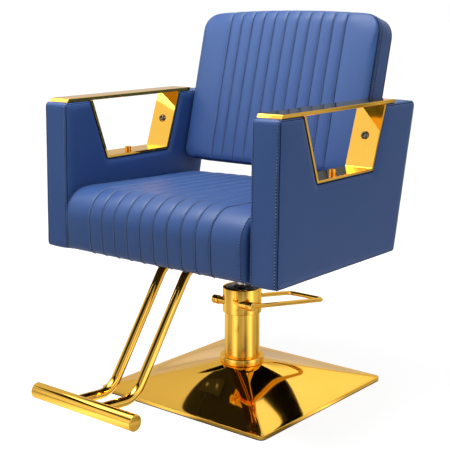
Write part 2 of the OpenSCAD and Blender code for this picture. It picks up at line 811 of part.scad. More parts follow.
// Upholstered arm on the +X side: its outline cut to soft edges all round
module arm() {
    top_tilt = atan(arm_lean/arm_h);
    rear_tilt = atan((arm_rear_top - arm_rear_foot)/arm_h);
    reach = arm_front + arm_rear_top;
    difference() {
        intersection() {
            translate([seat_half_w - over, 0, 0])
                rotate([90, 0, 90])
                    linear_extrude(arm_t + 2*over)
                        polygon(arm_outline());
            translate([seat_half_w + arm_t/2, reach, seat_bottom_z + arm_h/2])
                rotate([90, 0, 0])
                    linear_extrude(2*reach)
                        polygon(round_rect(arm_t/2, arm_h/2, arm_edge_r, arm_curve_steps));
            translate([seat_half_w + arm_t/2, -arm_front, seat_bottom_z])
                rotate([-top_tilt, 0, 0])
                    translate([0, reach, -arm_h])
                        linear_extrude(3*arm_h)
                            polygon(round_rect(arm_t/2, reach, arm_edge_r, arm_curve_steps));
            translate([seat_half_w + arm_t/2, arm_rear_foot, seat_bottom_z])
                rotate([-rear_tilt, 0, 0])
                    translate([0, -reach, -arm_h])
                        linear_extrude(3*arm_h)
                            polygon(round_rect(arm_t/2, reach, arm_edge_r, arm_curve_steps));
        }
        for (y = strap_ys)
            bolt_hole(seat_half_w + strap_half_l/2, y, screw_grip - strap_t, screw_r);
        liner_bolt_holes();
        for (u = spacer_us)
            on_spacer(u)
                cylinder(h = seat_half_w - shell_half_w + back_bolt_grip + fit_gap,
                         r = spacer_bore_r + fit_gap, $fn = 32);
    }
}

module arm_left() color(leather) arm();
module arm_right() color(leather) mirror([1, 0, 0]) arm();

// Flat straps that join the arms to the seat board from below
module arm_straps() color(dark_steel) {
    both_sides()
        for (y = strap_ys)
            difference() {
                translate([seat_half_w - strap_half_l, y - strap_w/2, board_bottom - strap_t])
                    cube([2*strap_half_l, strap_w, strap_t]);
                for (x = [-strap_half_l/2, strap_half_l/2])
                    translate([seat_half_w + x, y, board_bottom - strap_t - over])
                        cylinder(h = strap_t + 2*over, r = screw_r + fit_gap, $fn = 32);
            }
}

// Screws of the straps
module strap_screws() color("#8a8a8c") {
    both_sides()
        for (y = strap_ys, x = [-strap_half_l/2, strap_half_l/2])
            translate([seat_half_w + x, y, board_bottom - strap_t]) {
                cylinder(h = screw_grip, r = screw_r, $fn = 32);
                translate([0, 0, -screw_head_h])
                    cylinder(h = screw_head_h, r1 = screw_head_r - edge, r2 = screw_head_r, $fn = 32);
            }
}

// Flat metal cap on an arm, bevelled at the front
module arm_cap() {
    translate([seat_half_w + (arm_t - cap_w)/2, 0, cap_bottom])
        rotate([90, 0, 90])
            linear_extrude(cap_w)
                polygon([[-cap_front, 0], [cap_rear - edge, 0], [cap_rear, edge],
                         [cap_rear, cap_t - edge], [cap_rear - edge, cap_t],
                         [cap_bevel - cap_front, cap_t]]);
}

module cap_left() color(gold) arm_cap();
module cap_right() color(gold) mirror([1, 0, 0]) arm_cap();

// Bent flat bar that lines an arm's window
module liner() {
    rise = window_slope*(cap_bottom - arm_top);
    floor_z = window_foot + liner_t;
    inner = window_slope*(window_depth - liner_t);
    difference() {
        translate([seat_half_w + liner_inset, 0, 0])
            rotate([90, 0, 90])
                linear_extrude(arm_t - 2*liner_inset)
                    polygon(outline(
                        [[-window_front - rise, cap_bottom],
                         [window_lean - window_front, window_foot],
                         [window_rear - window_lean, window_foot],
                         [window_rear + rise, cap_bottom],
                         [window_rear + rise - liner_leg_w, cap_bottom],
                         [window_rear - inner - liner_leg_w, floor_z],
                         [inner + liner_leg_w - window_front, floor_z],
                         [liner_leg_w - window_front - rise, cap_bottom]],
                        [0, liner_corner_r, liner_corner_r, 0, 0, edge, edge, 0], arm_curve_steps));
        liner_bolt_holes();
    }
}

// Places children at the bolt on the liner's rear leg, +Z out of the leg
module on_liner_leg() {
    translate([seat_half_w + arm_t/2,
               window_rear - window_slope*(arm_top - leg_bolt_z) - liner_leg_w, leg_bolt_z])
        rotate([90 - atan(window_slope), 0, 0])
            children();
}

// Places children at the bolt on the liner's floor, +Z up
module on_liner_floor() {
    translate([seat_half_w + arm_t/2, floor_bolt_y, window_foot + liner_t])
        children();
}

// Holes of the liner's bolts
module liner_bolt_holes() {
    on_liner_leg() bolt_bore();
    on_liner_floor() bolt_bore();
}

// Bore from the surface down round a liner bolt's shank
module bolt_bore() {
    translate([0, 0, -liner_bolt_grip - fit_gap])
        cylinder(h = liner_bolt_grip + fit_gap + over, r = bolt_r + fit_gap, $fn = 32);
}

module liner_left() color(gold) liner();
module liner_right() color(gold) mirror([1, 0, 0]) liner();

// Socket-head bolts: one on each liner's rear leg and one on its floor
module liner_bolts() color(gold) {
    both_sides() {
        on_liner_leg()
            socket_bolt(liner_bolt_head_r, liner_bolt_head_h, 2*edge);
        on_liner_floor()
            socket_bolt(floor_bolt_head_r, floor_bolt_head_h, edge);
    }
}

// Bolt with a round head of radius r on the plane Z = 0 and a hexagon socket
module socket_bolt(r, h, bevel) {
    difference() {
        union() {
            rotate_extrude($fn = 48)
                polygon([[0, 0], [r, 0], [r, h - bevel], [r - bevel, h], [0, h]]);
            translate([0, 0, -liner_bolt_grip])
                cylinder(h = liner_bolt_grip + edge, r = bolt_r, $fn = 32);
        }
        translate([0, 0, h/2])
            cylinder(h = h, r = liner_bolt_r, $fn = 6);
    }
}

// Place of a point given along the back: across, into its thickness, up its length
function on_back(x, v, u) =
    [x, back_front_y + v*cos(back_recline) + u*sin(back_recline),
     back_bottom_z + u*cos(back_recline) - v*sin(back_recline)];

// Side profile of the back cushion, as [thickness, length]
function back_profile() =
    dense(outline([[back_cushion_t, 0], [back_cushion_t, back_length], [0, back_length], [0, 0]],
                  [0, 0, back_edge_r, back_edge_r], cushion_steps), back_step);

// Drop of a round corner of radius r at x on a panel of half width half_w
function corner_drop(x, half_w, r) =
    let (d = max(0, abs(x) - half_w + r)) r - sqrt(max(0, r*r - d*d));

// Back cushion with sewn channels over its front and top
module back_cushion() color(leather) {
    profile = back_profile();
    places = stations(back_half_w, back_seams, back_seam_pitch, back_side_draw);
    loft([for (s = places)
        let (low = corner_drop(s[0], back_half_w, back_foot_r),
             high = back_length - back_crown*pow(s[0]/back_half_w, 2)
                 - corner_drop(s[0], back_half_w, back_corner_r),
             crown = back_front_crown*cos(90*s[0]/back_half_w))
        [for (j = [0:len(profile) - 1])
            let (p = profile[j], free = min(1, max(0, (back_cushion_t - p[0])/back_edge_r)),
                 q = p + free*(s[1] - crown)*inward(profile, j))
            on_back(s[0], q[0], low + q[1]*(high - low)/back_length)]]);
}

// Outline of the back's rear shell, drawn in by d
function shell_outline(d) =
    outline([[d - shell_half_w, d], [shell_half_w - d, d], [shell_half_w - d, back_length - back_crown - d],
             [0, back_length - d], [d - shell_half_w, back_length - back_crown - d]],
            [back_foot_r, back_foot_r, shell_corner_r, shell_top_r, shell_corner_r], bend_steps);

// Rigid rear shell of the back
module back_shell() color(leather) {
    start = back_cushion_t + soft_gap;
    flat = shell_back_v - shell_edge;
    difference() {
        loft(concat([for (k = [shell_steps:-1:0]) let (a = 90*k/shell_steps)
                        [for (p = shell_outline(shell_edge*(1 - cos(a))))
                            on_back(p[0], flat + shell_edge*sin(a), p[1])]],
                    [[for (p = shell_outline(0)) on_back(p[0], start, p[1])]]));
        both_sides()
            for (u = spacer_us)
                on_spacer(u)
                    translate([0, 0, -back_bolt_grip - fit_gap])
                        cylinder(h = back_bolt_grip + over, r = spacer_bore_r + fit_gap, $fn = 32);
    }
}

// Places children where a spacer leaves the shell's +X side, +Z outwards
module on_spacer(u) {
    translate(on_back(shell_half_w, back_cushion_t + spacer_r, u))
        rotate([0, 90, 0])
            children();
}

// Steel spacers between the back's shell and the arms
module back_spacers() color("#8a8a8c") {
    both_sides()
        for (u = spacer_us)
            on_spacer(u)
                difference() {
                    cylinder(h = seat_half_w - shell_half_w, r = spacer_r, $fn = 48);
                    translate([0, 0, -over])
                        cylinder(h = seat_half_w - shell_half_w + 2*over,
                                 r = spacer_bore_r + fit_gap, $fn = 48);
                }
}

// Threaded studs that run from the shell through the spacers into the arms
module back_bolts() color("#8a8a8c") {
    both_sides()
        for (u = spacer_us)
            on_spacer(u)
                translate([0, 0, -back_bolt_grip])
                    cylinder(h = seat_half_w - shell_half_w + 2*back_bolt_grip,
                             r = spacer_bore_r, $fn = 32);
}

base_gasket();
base_plate();
base_weight();
base_cover();
base_collar();
pump_foot();
foot_bolts();
pump_cylinder();
pressure_tube();
pump_head();
guide_bush();
pump_sleeve();
pump_cap();
ram();
thrust_washer();
pedal_shaft();
pedal_loop();
seat_plate();
seat_bolts();
seat_board();
seat_cushion();
footrest_bracket();
footrest_bolts();
footrest_tubes();
footrest_bar();
footrest_caps();
arm_left();
arm_right();
arm_straps();
strap_screws();
cap_left();
cap_right();
liner_left();
liner_right();
liner_bolts();
back_cushion();
back_shell();
back_spacers();
back_bolts();
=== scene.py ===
import math

import bmesh
import bpy
from bpy.props import FloatProperty, FloatVectorProperty, IntProperty, PointerProperty
from mathutils import Matrix, Vector, noise


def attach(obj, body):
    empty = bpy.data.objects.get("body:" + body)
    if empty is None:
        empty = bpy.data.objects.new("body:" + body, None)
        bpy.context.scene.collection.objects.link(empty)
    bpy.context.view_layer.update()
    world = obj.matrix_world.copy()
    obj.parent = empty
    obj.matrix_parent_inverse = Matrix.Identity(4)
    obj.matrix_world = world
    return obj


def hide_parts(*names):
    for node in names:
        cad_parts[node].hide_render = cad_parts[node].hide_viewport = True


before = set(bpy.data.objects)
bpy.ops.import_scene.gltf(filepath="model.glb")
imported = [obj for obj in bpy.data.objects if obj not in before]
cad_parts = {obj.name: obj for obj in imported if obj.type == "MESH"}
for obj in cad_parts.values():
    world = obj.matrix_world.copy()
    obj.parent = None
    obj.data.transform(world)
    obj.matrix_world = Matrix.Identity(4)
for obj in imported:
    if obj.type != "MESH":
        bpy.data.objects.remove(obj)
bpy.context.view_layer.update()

bl_info = {
    "name": "Styling chair",
    "version": (1, 0, 0),
    "blender": (4, 5, 0),
    "location": "View3D > Sidebar > Chair",
    "description": "Dresses the frame of a hydraulic styling chair",
    "category": "Object",
}

MM = 0.001


# Settings

def length(label, about, value):
    """A length, written here in millimetres and kept in metres."""
    return FloatProperty(name=label, description=about, default=value * MM, precision=4,
                         subtype="DISTANCE", unit="LENGTH")


def angle(label, about, value):
    """An angle, written here in degrees and kept in radians."""
    return FloatProperty(name=label, description=about, default=math.radians(value),
                         subtype="ANGLE", unit="ROTATION")


def count(label, about, value):
    return IntProperty(name=label, description=about, default=value, min=1)


def number(label, about, value):
    return FloatProperty(name=label, description=about, default=value, min=0.0)


def colour(label, about, value):
    return FloatVectorProperty(name=label, description=about, default=value, size=3, min=0.0,
                               max=1.0, subtype="COLOR")


class SeatSettings(bpy.types.PropertyGroup):
    half_width: length("Half width", "Middle of the cushion to its side", 268.0)
    front: length("Front", "Swivel axis to the cushion's front", 345.0)
    rear: length("Rear", "Swivel axis to the cushion's rear", 130.0)
    foot: length("Foot height", "Height of the lower edge at the front", 376.0)
    board_top: length("Top of the board", "Height of the plywood that the cushion lies on", 389.3)
    board_front: length("Front of the board", "Swivel axis to the plywood's front edge", 284.3)
    top: length("Top at the front", "Height of the cushion at its front", 524.0)
    drop: length("Drop to the rear", "How far the top falls towards the rear", 14.0)
    waterfall: length("Waterfall radius", "Radius of the front's upper edge", 66.0)
    edge: length("Side roll", "Radius of the cushion's side edges", 15.0)
    seams: count("Seams", "Sewn channels across the cushion", 10)
    pitch: length("Seam pitch", "Distance between two seams", 40.0)
    crown: length("Crown", "Rise of the middle above the sides", 7.0)
    channel: length("Channel depth", "Depth of a seam below the leather beside it", 3.4)


class BackSettings(bpy.types.PropertyGroup):
    half_width: length("Half width", "Middle of the back to its side", 265.0)
    front: length("Front", "Swivel axis to the foot of the back's face", 86.0)
    bottom: length("Bottom", "Height of the back's foot", 552.0)
    height: length("Length", "Foot to top along the back", 390.0)
    recline: angle("Recline", "Lean of the back from upright", 14.5)
    depth: length("Depth", "Thickness of the back", 72.0)
    top_radius: length("Top corner radius", "Radius of the upper corners", 45.0)
    foot_radius: length("Foot corner radius", "Radius of the lower corners", 24.0)
    arch: length("Arch of the top", "Rise of the top's middle above its ends", 10.0)
    roll: length("Roll of the top edge", "Height over which the face rolls back", 30.0)
    edge: length("Edge roll", "Radius of the roll in front of the edge seam", 7.0)
    crown: length("Crown", "Swell of the middle of the face", 6.0)
    seams: count("Seams", "Sewn channels up the back", 11)
    pitch: length("Seam pitch", "Distance between two seams", 34.6)
    channel: length("Channel depth", "Depth of a seam below the leather beside it", 3.0)


class ArmSettings(bpy.types.PropertyGroup):
    inner: length("Inner face", "Middle of the chair to an arm's inner face", 271.0)
    width: length("Width", "Thickness of an arm", 74.0)
    bottom: length("Bottom", "Height of an arm's foot", 374.0)
    height: length("Height", "Foot to top of an arm", 346.0)
    front: length("Front", "Swivel axis to an arm's front", 329.0)
    rear_foot: length("Rear at the foot", "Swivel axis to an arm's rear at its foot", 138.0)
    rear_top: length("Rear at the top", "Swivel axis to an arm's rear at its top", 217.0)
    lean: length("Lean of the front", "How far the front falls back at the top", 8.0)
    soft_edge: length("Soft edge", "Radius of the padded edges", 8.0)
    seam_dip: length("Seam dip", "Depth of the crease along a side panel", 1.8)
    window_front: length("Window front", "Swivel axis to the window's upper front corner", 236.0)
    window_rear: length("Window rear", "Swivel axis to the window's upper rear corner", 84.0)
    window_depth: length("Window depth", "Top of the arm to the window's floor", 143.0)
    window_lean: length("Window lean", "How far each leg of the window leans inwards", 50.0)
    liner: length("Liner thickness", "Thickness of the metal in the window", 5.5)
    cap_front: length("Cap front", "Swivel axis to the metal cap's front", 311.0)
    cap_rear: length("Cap rear", "Swivel axis to the metal cap's rear", 131.0)
    cap_width: length("Cap width", "Width of the metal cap", 62.0)
    cap_height: length("Cap height", "Thickness of the metal cap", 8.5)
    leg_bolt: length("Leg bolt height", "Height of the bolt in the liner's rear leg", 652.0)
    floor_bolt: length("Floor bolt", "Swivel axis to the bolt in the liner's floor", 77.0)
    puff: length("Puff", "Swell of a side panel", 2.2)
    window_roll: length("Window roll", "How far the leather sinks beside the window", 1.8)


class BaseSettings(bpy.types.PropertyGroup):
    half: length("Half side", "Half of the square's side", 252.0)
    corner: length("Corner radius", "Radius of the square's corners", 14.0)
    rim: length("Rim height", "Height of the upright rim", 11.0)
    top: length("Top height", "Height of the neck's top", 66.0)
    neck: length("Neck radius", "Radius of the round neck", 52.0)
    bore: length("Bore radius", "Radius of the hole for the pump", 45.5)
    sheet: length("Sheet", "Thickness of the pressed sheet", 2.0)
    foot: length("Foot of the rim", "Height of the rim's lower edge", 3.0)
    fold: length("Fold radius", "Radius between the rim and the slope", 1.2)
    curve: number("Curve", "How hollow the slope is, 1 for straight", 1.1)
    rings: count("Rings", "Steps from the rim to the neck", 44)
    side_points: count("Points per side", "Steps along a side", 30)
    corner_points: count("Points per corner", "Steps round a corner", 8)


class PumpSettings(bpy.types.PropertyGroup):
    collar: length("Collar radius", "Radius of the ring at the pump's foot", 55.0)
    collar_foot: length("Collar foot", "Height of the ring's foot", 66.0)
    collar_top: length("Collar top", "Height of the ring's top", 84.0)
    cylinder: length("Cylinder radius", "Radius of the pump's cylinder", 43.5)
    sleeve: length("Sleeve radius", "Radius of the upper sleeve", 48.5)
    sleeve_foot: length("Sleeve foot", "Height of the sleeve's foot", 196.0)
    sleeve_top: length("Sleeve top", "Height of the sleeve's top", 259.0)
    ram: length("Ram radius", "Radius of the sliding ram", 13.0)
    ram_top: length("Ram top", "Height of the ram's top", 345.0)
    lobes: count("Lobes", "Lobes round the cap's boss", 8)
    lobe: length("Lobe radius", "Radius of one lobe", 3.7)
    lobe_circle: length("Lobe circle", "Swivel axis to the middle of a lobe", 17.5)
    pedal_axis: length("Pedal axis", "Height of the pedal's axis", 224.0)
    pedal_back: length("Pedal offset", "Swivel axis to the pedal's axis", 35.0)
    pedal_reach: length("Pedal reach", "Pedal's axis to the loop's far bar", 322.0)
    pedal_half: length("Pedal half width", "Middle of the loop to its side bars", 54.5)
    pedal_rod: length("Pedal rod", "Radius of the pedal's rod", 5.8)
    pedal_droop: angle("Pedal droop", "How far the loop hangs below level", 9.4)


class FootrestSettings(bpy.types.PropertyGroup):
    spacing: length("Tube offset", "Middle of the chair to each tube", 36.0)
    tube: length("Tube radius", "Radius of the bent tubes", 11.0)
    bar: length("Bar radius", "Radius of the cross bar", 18.0)
    bar_half: length("Bar half length", "Half of the cross bar's length", 150.0)
    bar_front: length("Bar front", "Swivel axis to the cross bar", 545.0)
    bar_height: length("Bar height", "Height of the cross bar", 111.0)


class ThreadSettings(bpy.types.PropertyGroup):
    pitch: length("Stitch pitch", "Distance between two stitches", 6.6)
    stitch: length("Stitch length", "Length of one stitch", 3.2)
    radius: length("Thread radius", "Radius of the sewing thread", 1.0)
    # The fold, the pressed line and the piping are near-black cords: painted shade in the seams'
    # creases.
    seam: length("Seam radius", "Radius of the dark fold in a seam", 1.6)
    needle: length("Needle line radius", "Radius of the pressed line under a topstitch", 1.15)
    welt: length("Welt radius", "Radius of the thin piping", 1.6)
    seed: count("Seed", "Seed of the small differences between stitches", 7)


class ClothSettings(bpy.types.PropertyGroup):
    pressure: number("Pressure", "Air pressure inside a cushion", 4.0)
    frames: count("Frames", "Steps of the simulation", 18)
    cap: length("Largest move", "How far the leather may swell", 3.2)


class FinishSettings(bpy.types.PropertyGroup):
    leather: colour("Leather", "Paler tone of the blue leather", (0.041, 0.101, 0.294))
    leather_deep: colour("Leather, deep", "Deeper tone of the blue leather", (0.034, 0.088, 0.266))
    # Near-black colour of the cords in the seams: painted shade in the creases, not a darker
    # leather.
    seam: colour("Seam", "Leather in the folds of the seams", (0.004, 0.010, 0.034))
    thread: colour("Thread", "Pale strands of the sewing thread", (0.44, 0.53, 0.76))
    thread_deep: colour("Thread, deep", "Deep strands of the sewing thread", (0.25, 0.34, 0.57))
    gold: colour("Gold", "Paler tone of the plating", (0.94, 0.555, 0.10))
    gold_deep: colour("Gold, deep", "Deeper tone of the plating", (0.90, 0.49, 0.06))
    chrome: colour("Chrome", "Tone of the bright ram", (0.80, 0.81, 0.83))
    steel: colour("Steel", "Tone of the black coated steel", (0.020, 0.020, 0.022))
    rubber: colour("Rubber", "Tone of the rubber strip", (0.017, 0.017, 0.017))
    plastic: colour("Plastic", "Tone of the black plastic cap", (0.012, 0.012, 0.013))


SETTINGS = {
    "seat": SeatSettings, "back": BackSettings, "arm": ArmSettings, "base": BaseSettings,
    "pump": PumpSettings, "footrest": FootrestSettings, "thread": ThreadSettings,
    "cloth": ClothSettings, "finish": FinishSettings,
}


class Reading:
    """A group's settings, with every length in millimetres."""

    def __init__(self, group):
        self.group = group

    def __getattr__(self, name):
        value = getattr(self.group, name)
        return value / MM if self.group.bl_rna.properties[name].unit == "LENGTH" else value


def settings(name):
    return Reading(getattr(bpy.context.scene, "chair_" + name))


# Outlines

def bend(a, b, c, r, n):
    """Points of a fillet of radius r at corner b between a and c, in the plane or in space."""
    u, v = (a - b).normalized(), (c - b).normalized()
    half = u.angle(v) / 2
    start = b + u * (r / math.tan(half))
    centre = b + (u + v).normalized() * (r / math.sin(half))
    e = (start - centre).normalized()
    sweep = math.pi - 2 * half
    return [centre + r * (math.cos(sweep * i / n) * e - math.sin(sweep * i / n) * u)
            for i in range(n + 1)]


def outline(points, radii, n):
    """Closed outline with rounded corners."""
    made = []
    m = len(points)
    for i in range(m):
        if radii[i] > 0:
            made += bend(points[i - 1], points[i], points[(i + 1) % m], radii[i], n)
        else:
            made.append(points[i])
    return made


def route(points, radii, n):
    """Open route with rounded inner corners."""
    made = [points[0]]
    for i in range(1, len(points) - 1):
        made += bend(points[i - 1], points[i], points[i + 1], radii[i], n)
    return made + [points[-1]]


def split(points, steps):
    """Cuts each edge of a closed outline into the given number of equal parts."""
    made = []
    for i, a in enumerate(points):
        b = points[(i + 1) % len(points)]
        made += [a + (b - a) * k / steps[i] for k in range(steps[i])]
    return made


def even_steps(points, step):
    """Number of parts for each edge of a closed outline, so that none is longer than step."""
    m = len(points)
    return [max(1, math.ceil((points[(i + 1) % m] - points[i]).length / step)) for i in range(m)]


def inset(points, d):
    """Polygon whose edges are shifted inwards by d. The points run counter-clockwise."""
    m = len(points)
    lines = []
    for i in range(m):
        t = (points[(i + 1) % m] - points[i]).normalized()
        lines.append((points[i] + Vector((-t.y, t.x)) * d, t))
    made = []
    for i in range(m):
        (p, t), (q, w) = lines[i - 1], lines[i]
        cross = t.x * w.y - t.y * w.x
        made.append(p + t * (((q - p).x * w.y - (q - p).y * w.x) / cross))
    return made


def rolled(distance, r):
    """How far a roll of radius r falls back at a distance inside it."""
    return r - math.sqrt(max(0.0, r ** 2 - max(0.0, distance) ** 2))


def corner_drop(x, half_width, r):
    """How far a rounded corner has dropped at the place x."""
    return rolled(abs(x) - half_width + r, r)


def outward_2d(points):
    """Outward unit vectors of a counter-clockwise closed outline."""
    m = len(points)
    tangents = [(points[(j + 1) % m] - points[j - 1]).normalized() for j in range(m)]
    return [Vector((t.y, -t.x)) for t in tangents]


# Meshes

# Points of a turned piece that are closer than this, in metres, are one point.
SAME_PLACE = 0.002 * MM

# Sign of x and name of each side of the chair.
SIDES = ((1, "left"), (-1, "right"))


def new_piece(name, verts, faces, smooth=True):
    """Object at the origin from points in millimetres, with its faces turned outwards."""
    mesh = bpy.data.meshes.new(name)
    mesh.from_pydata([Vector(v) * MM for v in verts], [], faces)
    mesh.validate()
    bm = bmesh.new()
    bm.from_mesh(mesh)
    bmesh.ops.recalc_face_normals(bm, faces=bm.faces)
    bm.to_mesh(mesh)
    bm.free()
    obj = bpy.data.objects.new(name, mesh)
    bpy.context.scene.collection.objects.link(obj)
    mesh.polygons.foreach_set("use_smooth", [smooth] * len(mesh.polygons))
    return obj


def sharpen(obj, degrees):
    """Closes the poles of a turned piece, and marks edges sharper than an angle."""
    bm = bmesh.new()
    bm.from_mesh(obj.data)
    bmesh.ops.remove_doubles(bm, verts=bm.verts, dist=SAME_PLACE)
    bmesh.ops.dissolve_degenerate(bm, edges=bm.edges, dist=SAME_PLACE)
    for edge in bm.edges:
        edge.smooth = len(edge.link_faces) != 2 or edge.calc_face_angle(0) < math.radians(degrees)
    bm.to_mesh(obj.data)
    bm.free()


def apply(obj):
    """Turns an object and its modifiers into a plain mesh."""
    shaped = obj.evaluated_get(bpy.context.evaluated_depsgraph_get())
    mesh = bpy.data.meshes.new_from_object(shaped)
    obj.modifiers.clear()
    obj.data = mesh
    return mesh


def loft(rings, closed=False):
    """Points and quads through rings of equal length. Open lofts get a face at each end."""
    n, m = len(rings), len(rings[0])
    verts = [p for ring in rings for p in ring]
    faces = []
    for k in range(n if closed else n - 1):
        for j in range(m):
            a, b = k * m + j, k * m + (j + 1) % m
            c, d = ((k + 1) % n) * m + (j + 1) % m, ((k + 1) % n) * m + j
            faces.append((a, b, c, d))
    if not closed:
        faces.append(tuple(range(m - 1, -1, -1)))
        faces.append(tuple((n - 1) * m + j for j in range(m)))
    return verts, faces


def grid(columns, rows, start=0, turned_over=False):
    """Quads of a grid whose points are numbered from start, column by column."""
    faces = []
    for k in range(columns - 1):
        for i in range(rows - 1):
            a, b = start + k * rows + i, start + (k + 1) * rows + i
            faces.append((a, a + 1, b + 1, b) if turned_over else (a, b, b + 1, a + 1))
    return faces


def band(first, second):
    """Quads between two closed rows of points."""
    m = len(first)
    return [(first[j], second[j], second[(j + 1) % m], first[(j + 1) % m]) for j in range(m)]


def join(*parts):
    """One list of points and faces from several."""
    verts, faces = [], []
    for v, f in parts:
        base = len(verts)
        verts += [Vector(p) for p in v]
        faces += [tuple(i + base for i in face) for face in f]
    return verts, faces


def moved(part, matrix):
    """A part with its points moved by a matrix."""
    return [matrix @ Vector(p) for p in part[0]], part[1]


def mirrored(part):
    """A part's mirror image on the other side of the chair."""
    return [Vector((-p[0], p[1], p[2])) for p in part[0]], [tuple(reversed(f)) for f in part[1]]


def on_side(part, side):
    """The part itself, or its mirror image where side is -1."""
    return part if side > 0 else mirrored(part)


def lathe(profile, segments=96, hexagon=0.0):
    """Solid turned about Z from (radius, height) pairs. Rings up to hexagon are six-sided."""
    rings = []
    for r, z in profile:
        ring = []
        for j in range(segments):
            a = 2 * math.pi * j / segments
            flat = math.cos(math.pi / 6) / math.cos(a % (math.pi / 3) - math.pi / 6)
            s = r * flat if r <= hexagon else r
            ring.append(Vector((s * math.cos(a), s * math.sin(a), z)))
        rings.append(ring)
    return loft(rings)


def lathe_through(profile, segments=128):
    """Turned part with a hole through it, from a closed profile."""
    verts, _ = lathe(profile, segments)
    return loft([verts[k * segments:(k + 1) * segments] for k in range(len(profile))], True)


def tube_path(path, r, sides, ref):
    """Round rod along a route in a plane with the normal ref."""
    rings = []
    last = len(path) - 1
    for i, p in enumerate(path):
        t = (path[min(i + 1, last)] - path[max(i - 1, 0)]).normalized()
        side = ref.cross(t).normalized()
        rings.append([p + r * (math.cos(2 * math.pi * j / sides) * side
                               + math.sin(2 * math.pi * j / sides) * ref)
                      for j in range(sides)])
    return loft(rings)


ALONG_X = Matrix.Rotation(math.pi / 2, 4, "Y")


def rounded(profile, r, steps=4):
    """Lathe profile with its inner corners rounded."""
    points = [Vector(p) for p in profile]
    return [tuple(p) for p in route(points, [r] * len(points), steps)]


# Materials

class Graph:
    """Adds nodes to one node tree."""

    def __init__(self, tree):
        self.tree = tree

    def add(self, kind, choices=None, sockets=None, out=0):
        """Adds a node: its settings first, then the values or links of its sockets."""
        node = self.tree.nodes.new(kind)
        for key, value in (choices or {}).items():
            if key == "stops":
                while len(node.color_ramp.elements) < len(value):
                    node.color_ramp.elements.new(1.0)
                for stop, (place, level) in zip(node.color_ramp.elements, value):
                    stop.position = place
                    stop.color = (level, level, level, 1.0)
            else:
                setattr(node, key, value)
        for key, value in (sockets or {}).items():
            if isinstance(value, Term):
                self.tree.links.new(value.socket, node.inputs[key])
            else:
                node.inputs[key].default_value = value
        return Term(self, node.outputs[out]) if len(node.outputs) else node


class Term:
    """The value of a socket. Operators on it add Math nodes."""

    def __init__(self, graph, socket):
        self.graph = graph
        self.socket = socket

    def sibling(self, name):
        """Another output of the same node."""
        return Term(self.graph, self.socket.node.outputs[name])

    def _math(self, kind, first, second=0.0, clamp=False):
        return self.graph.add("ShaderNodeMath", {"operation": kind, "use_clamp": clamp},
                              {0: first, 1: second})

    def __add__(self, other):
        return self._math("ADD", self, other)

    def __radd__(self, other):
        return self._math("ADD", other, self)

    def __sub__(self, other):
        return self._math("SUBTRACT", self, other)

    def __rsub__(self, other):
        return self._math("SUBTRACT", other, self)

    def __mul__(self, other):
        return self._math("MULTIPLY", self, other)

    def __rmul__(self, other):
        return self._math("MULTIPLY", other, self)

    def __truediv__(self, other):
        return self._math("DIVIDE", self, other)

    def __lt__(self, other):
        return self._math("LESS_THAN", self, other)

    def clamped(self):
        """The value, kept between 0 and 1."""
        return self._math("ADD", self, 0.0, True)

    def sine(self):
        return self._math("SINE", self)

    def smooth_step(self, start, end, low=0.0, high=1.0):
        """Goes softly from low to high while the value goes from start to end."""
        sockets = {"Value": self, "From Min": start, "From Max": end, "To Min": low, "To Max": high}
        return self.graph.add("ShaderNodeMapRange", {"interpolation_type": "SMOOTHSTEP"}, sockets)


class Look(Graph):
    """A material around one Principled shader. Its patterns read Object coordinates."""

    def __init__(self, name, **constants):
        self.material = bpy.data.materials.new(name)
        self.material.use_nodes = True
        super().__init__(self.material.node_tree)
        self.shader = self.tree.nodes["Principled BSDF"]
        for key, value in constants.items():
            self.shader.inputs[key.replace("_", " ")].default_value = value
        self.place = self.add("ShaderNodeTexCoord", out="Object")

    def noise(self, scale, detail=3.0, rough=0.5, stretch=None):
        place = self.place
        if stretch is not None:
            place = self.add("ShaderNodeMapping", None, {"Vector": place, "Scale": stretch})
        sockets = {"Vector": place, "Scale": scale, "Detail": detail, "Roughness": rough}
        return self.add("ShaderNodeTexNoise", None, sockets)

    def cells(self, scale):
        """Pattern of soft cells."""
        sockets = {"Vector": self.place, "Scale": scale, "Smoothness": 0.35}
        return self.add("ShaderNodeTexVoronoi", {"feature": "SMOOTH_F1"}, sockets, "Distance")

    def axis(self, name):
        return self.add("ShaderNodeSeparateXYZ", None, {0: self.place}, name)

    def facing_down(self):
        """1 where the surface looks down, otherwise 0."""
        normal = self.add("ShaderNodeNewGeometry", out="Normal")
        return self.add("ShaderNodeSeparateXYZ", None, {0: normal}, "Z") < -0.5

    def mix(self, factor, first, second):
        """Blends two colours, each given as numbers or as a Term."""
        first, second = (c if isinstance(c, Term) else (*c, 1.0) for c in (first, second))
        return self.add("ShaderNodeMix", {"data_type": "RGBA"}, {0: factor, 6: first, 7: second}, 2)

    def feed(self, socket, term):
        self.tree.links.new(term.socket, self.shader.inputs[socket])

    def bump(self, height, distance, strength):
        sockets = {"Height": height, "Distance": distance, "Strength": strength}
        self.feed("Normal", self.add("ShaderNodeBump", None, sockets))


def tint(value, factor):
    """A colour made darker or paler by a factor."""
    return tuple(min(1.0, c * factor) for c in value)


def leather(name, pale, deep, specular=0.34, dull=0.0):
    """Fine-grained artificial leather: soft satin sheen, pebbled grain and pores."""
    look = Look(name, Specular_IOR_Level=specular)
    drift = look.noise(6.0, 4.0, 0.55)
    rubbed = look.noise(38.0, 3.0, 0.6)
    grain = look.cells(760.0)
    pores = look.noise(1500.0, 2.0)
    tone = (drift - 0.5) * 1.5 + (rubbed - 0.5) * 0.5 + (grain - 0.4) * 0.25 + 0.5
    look.feed("Base Color", look.mix(tone.clamped(), deep, pale))
    look.feed("Roughness", drift * 0.10 + rubbed * 0.06 + grain * 0.08 + (0.33 + dull))
    look.bump(grain * 0.8 + pores * 0.3 + rubbed * 0.5, 0.00012, 0.35)
    return look.material


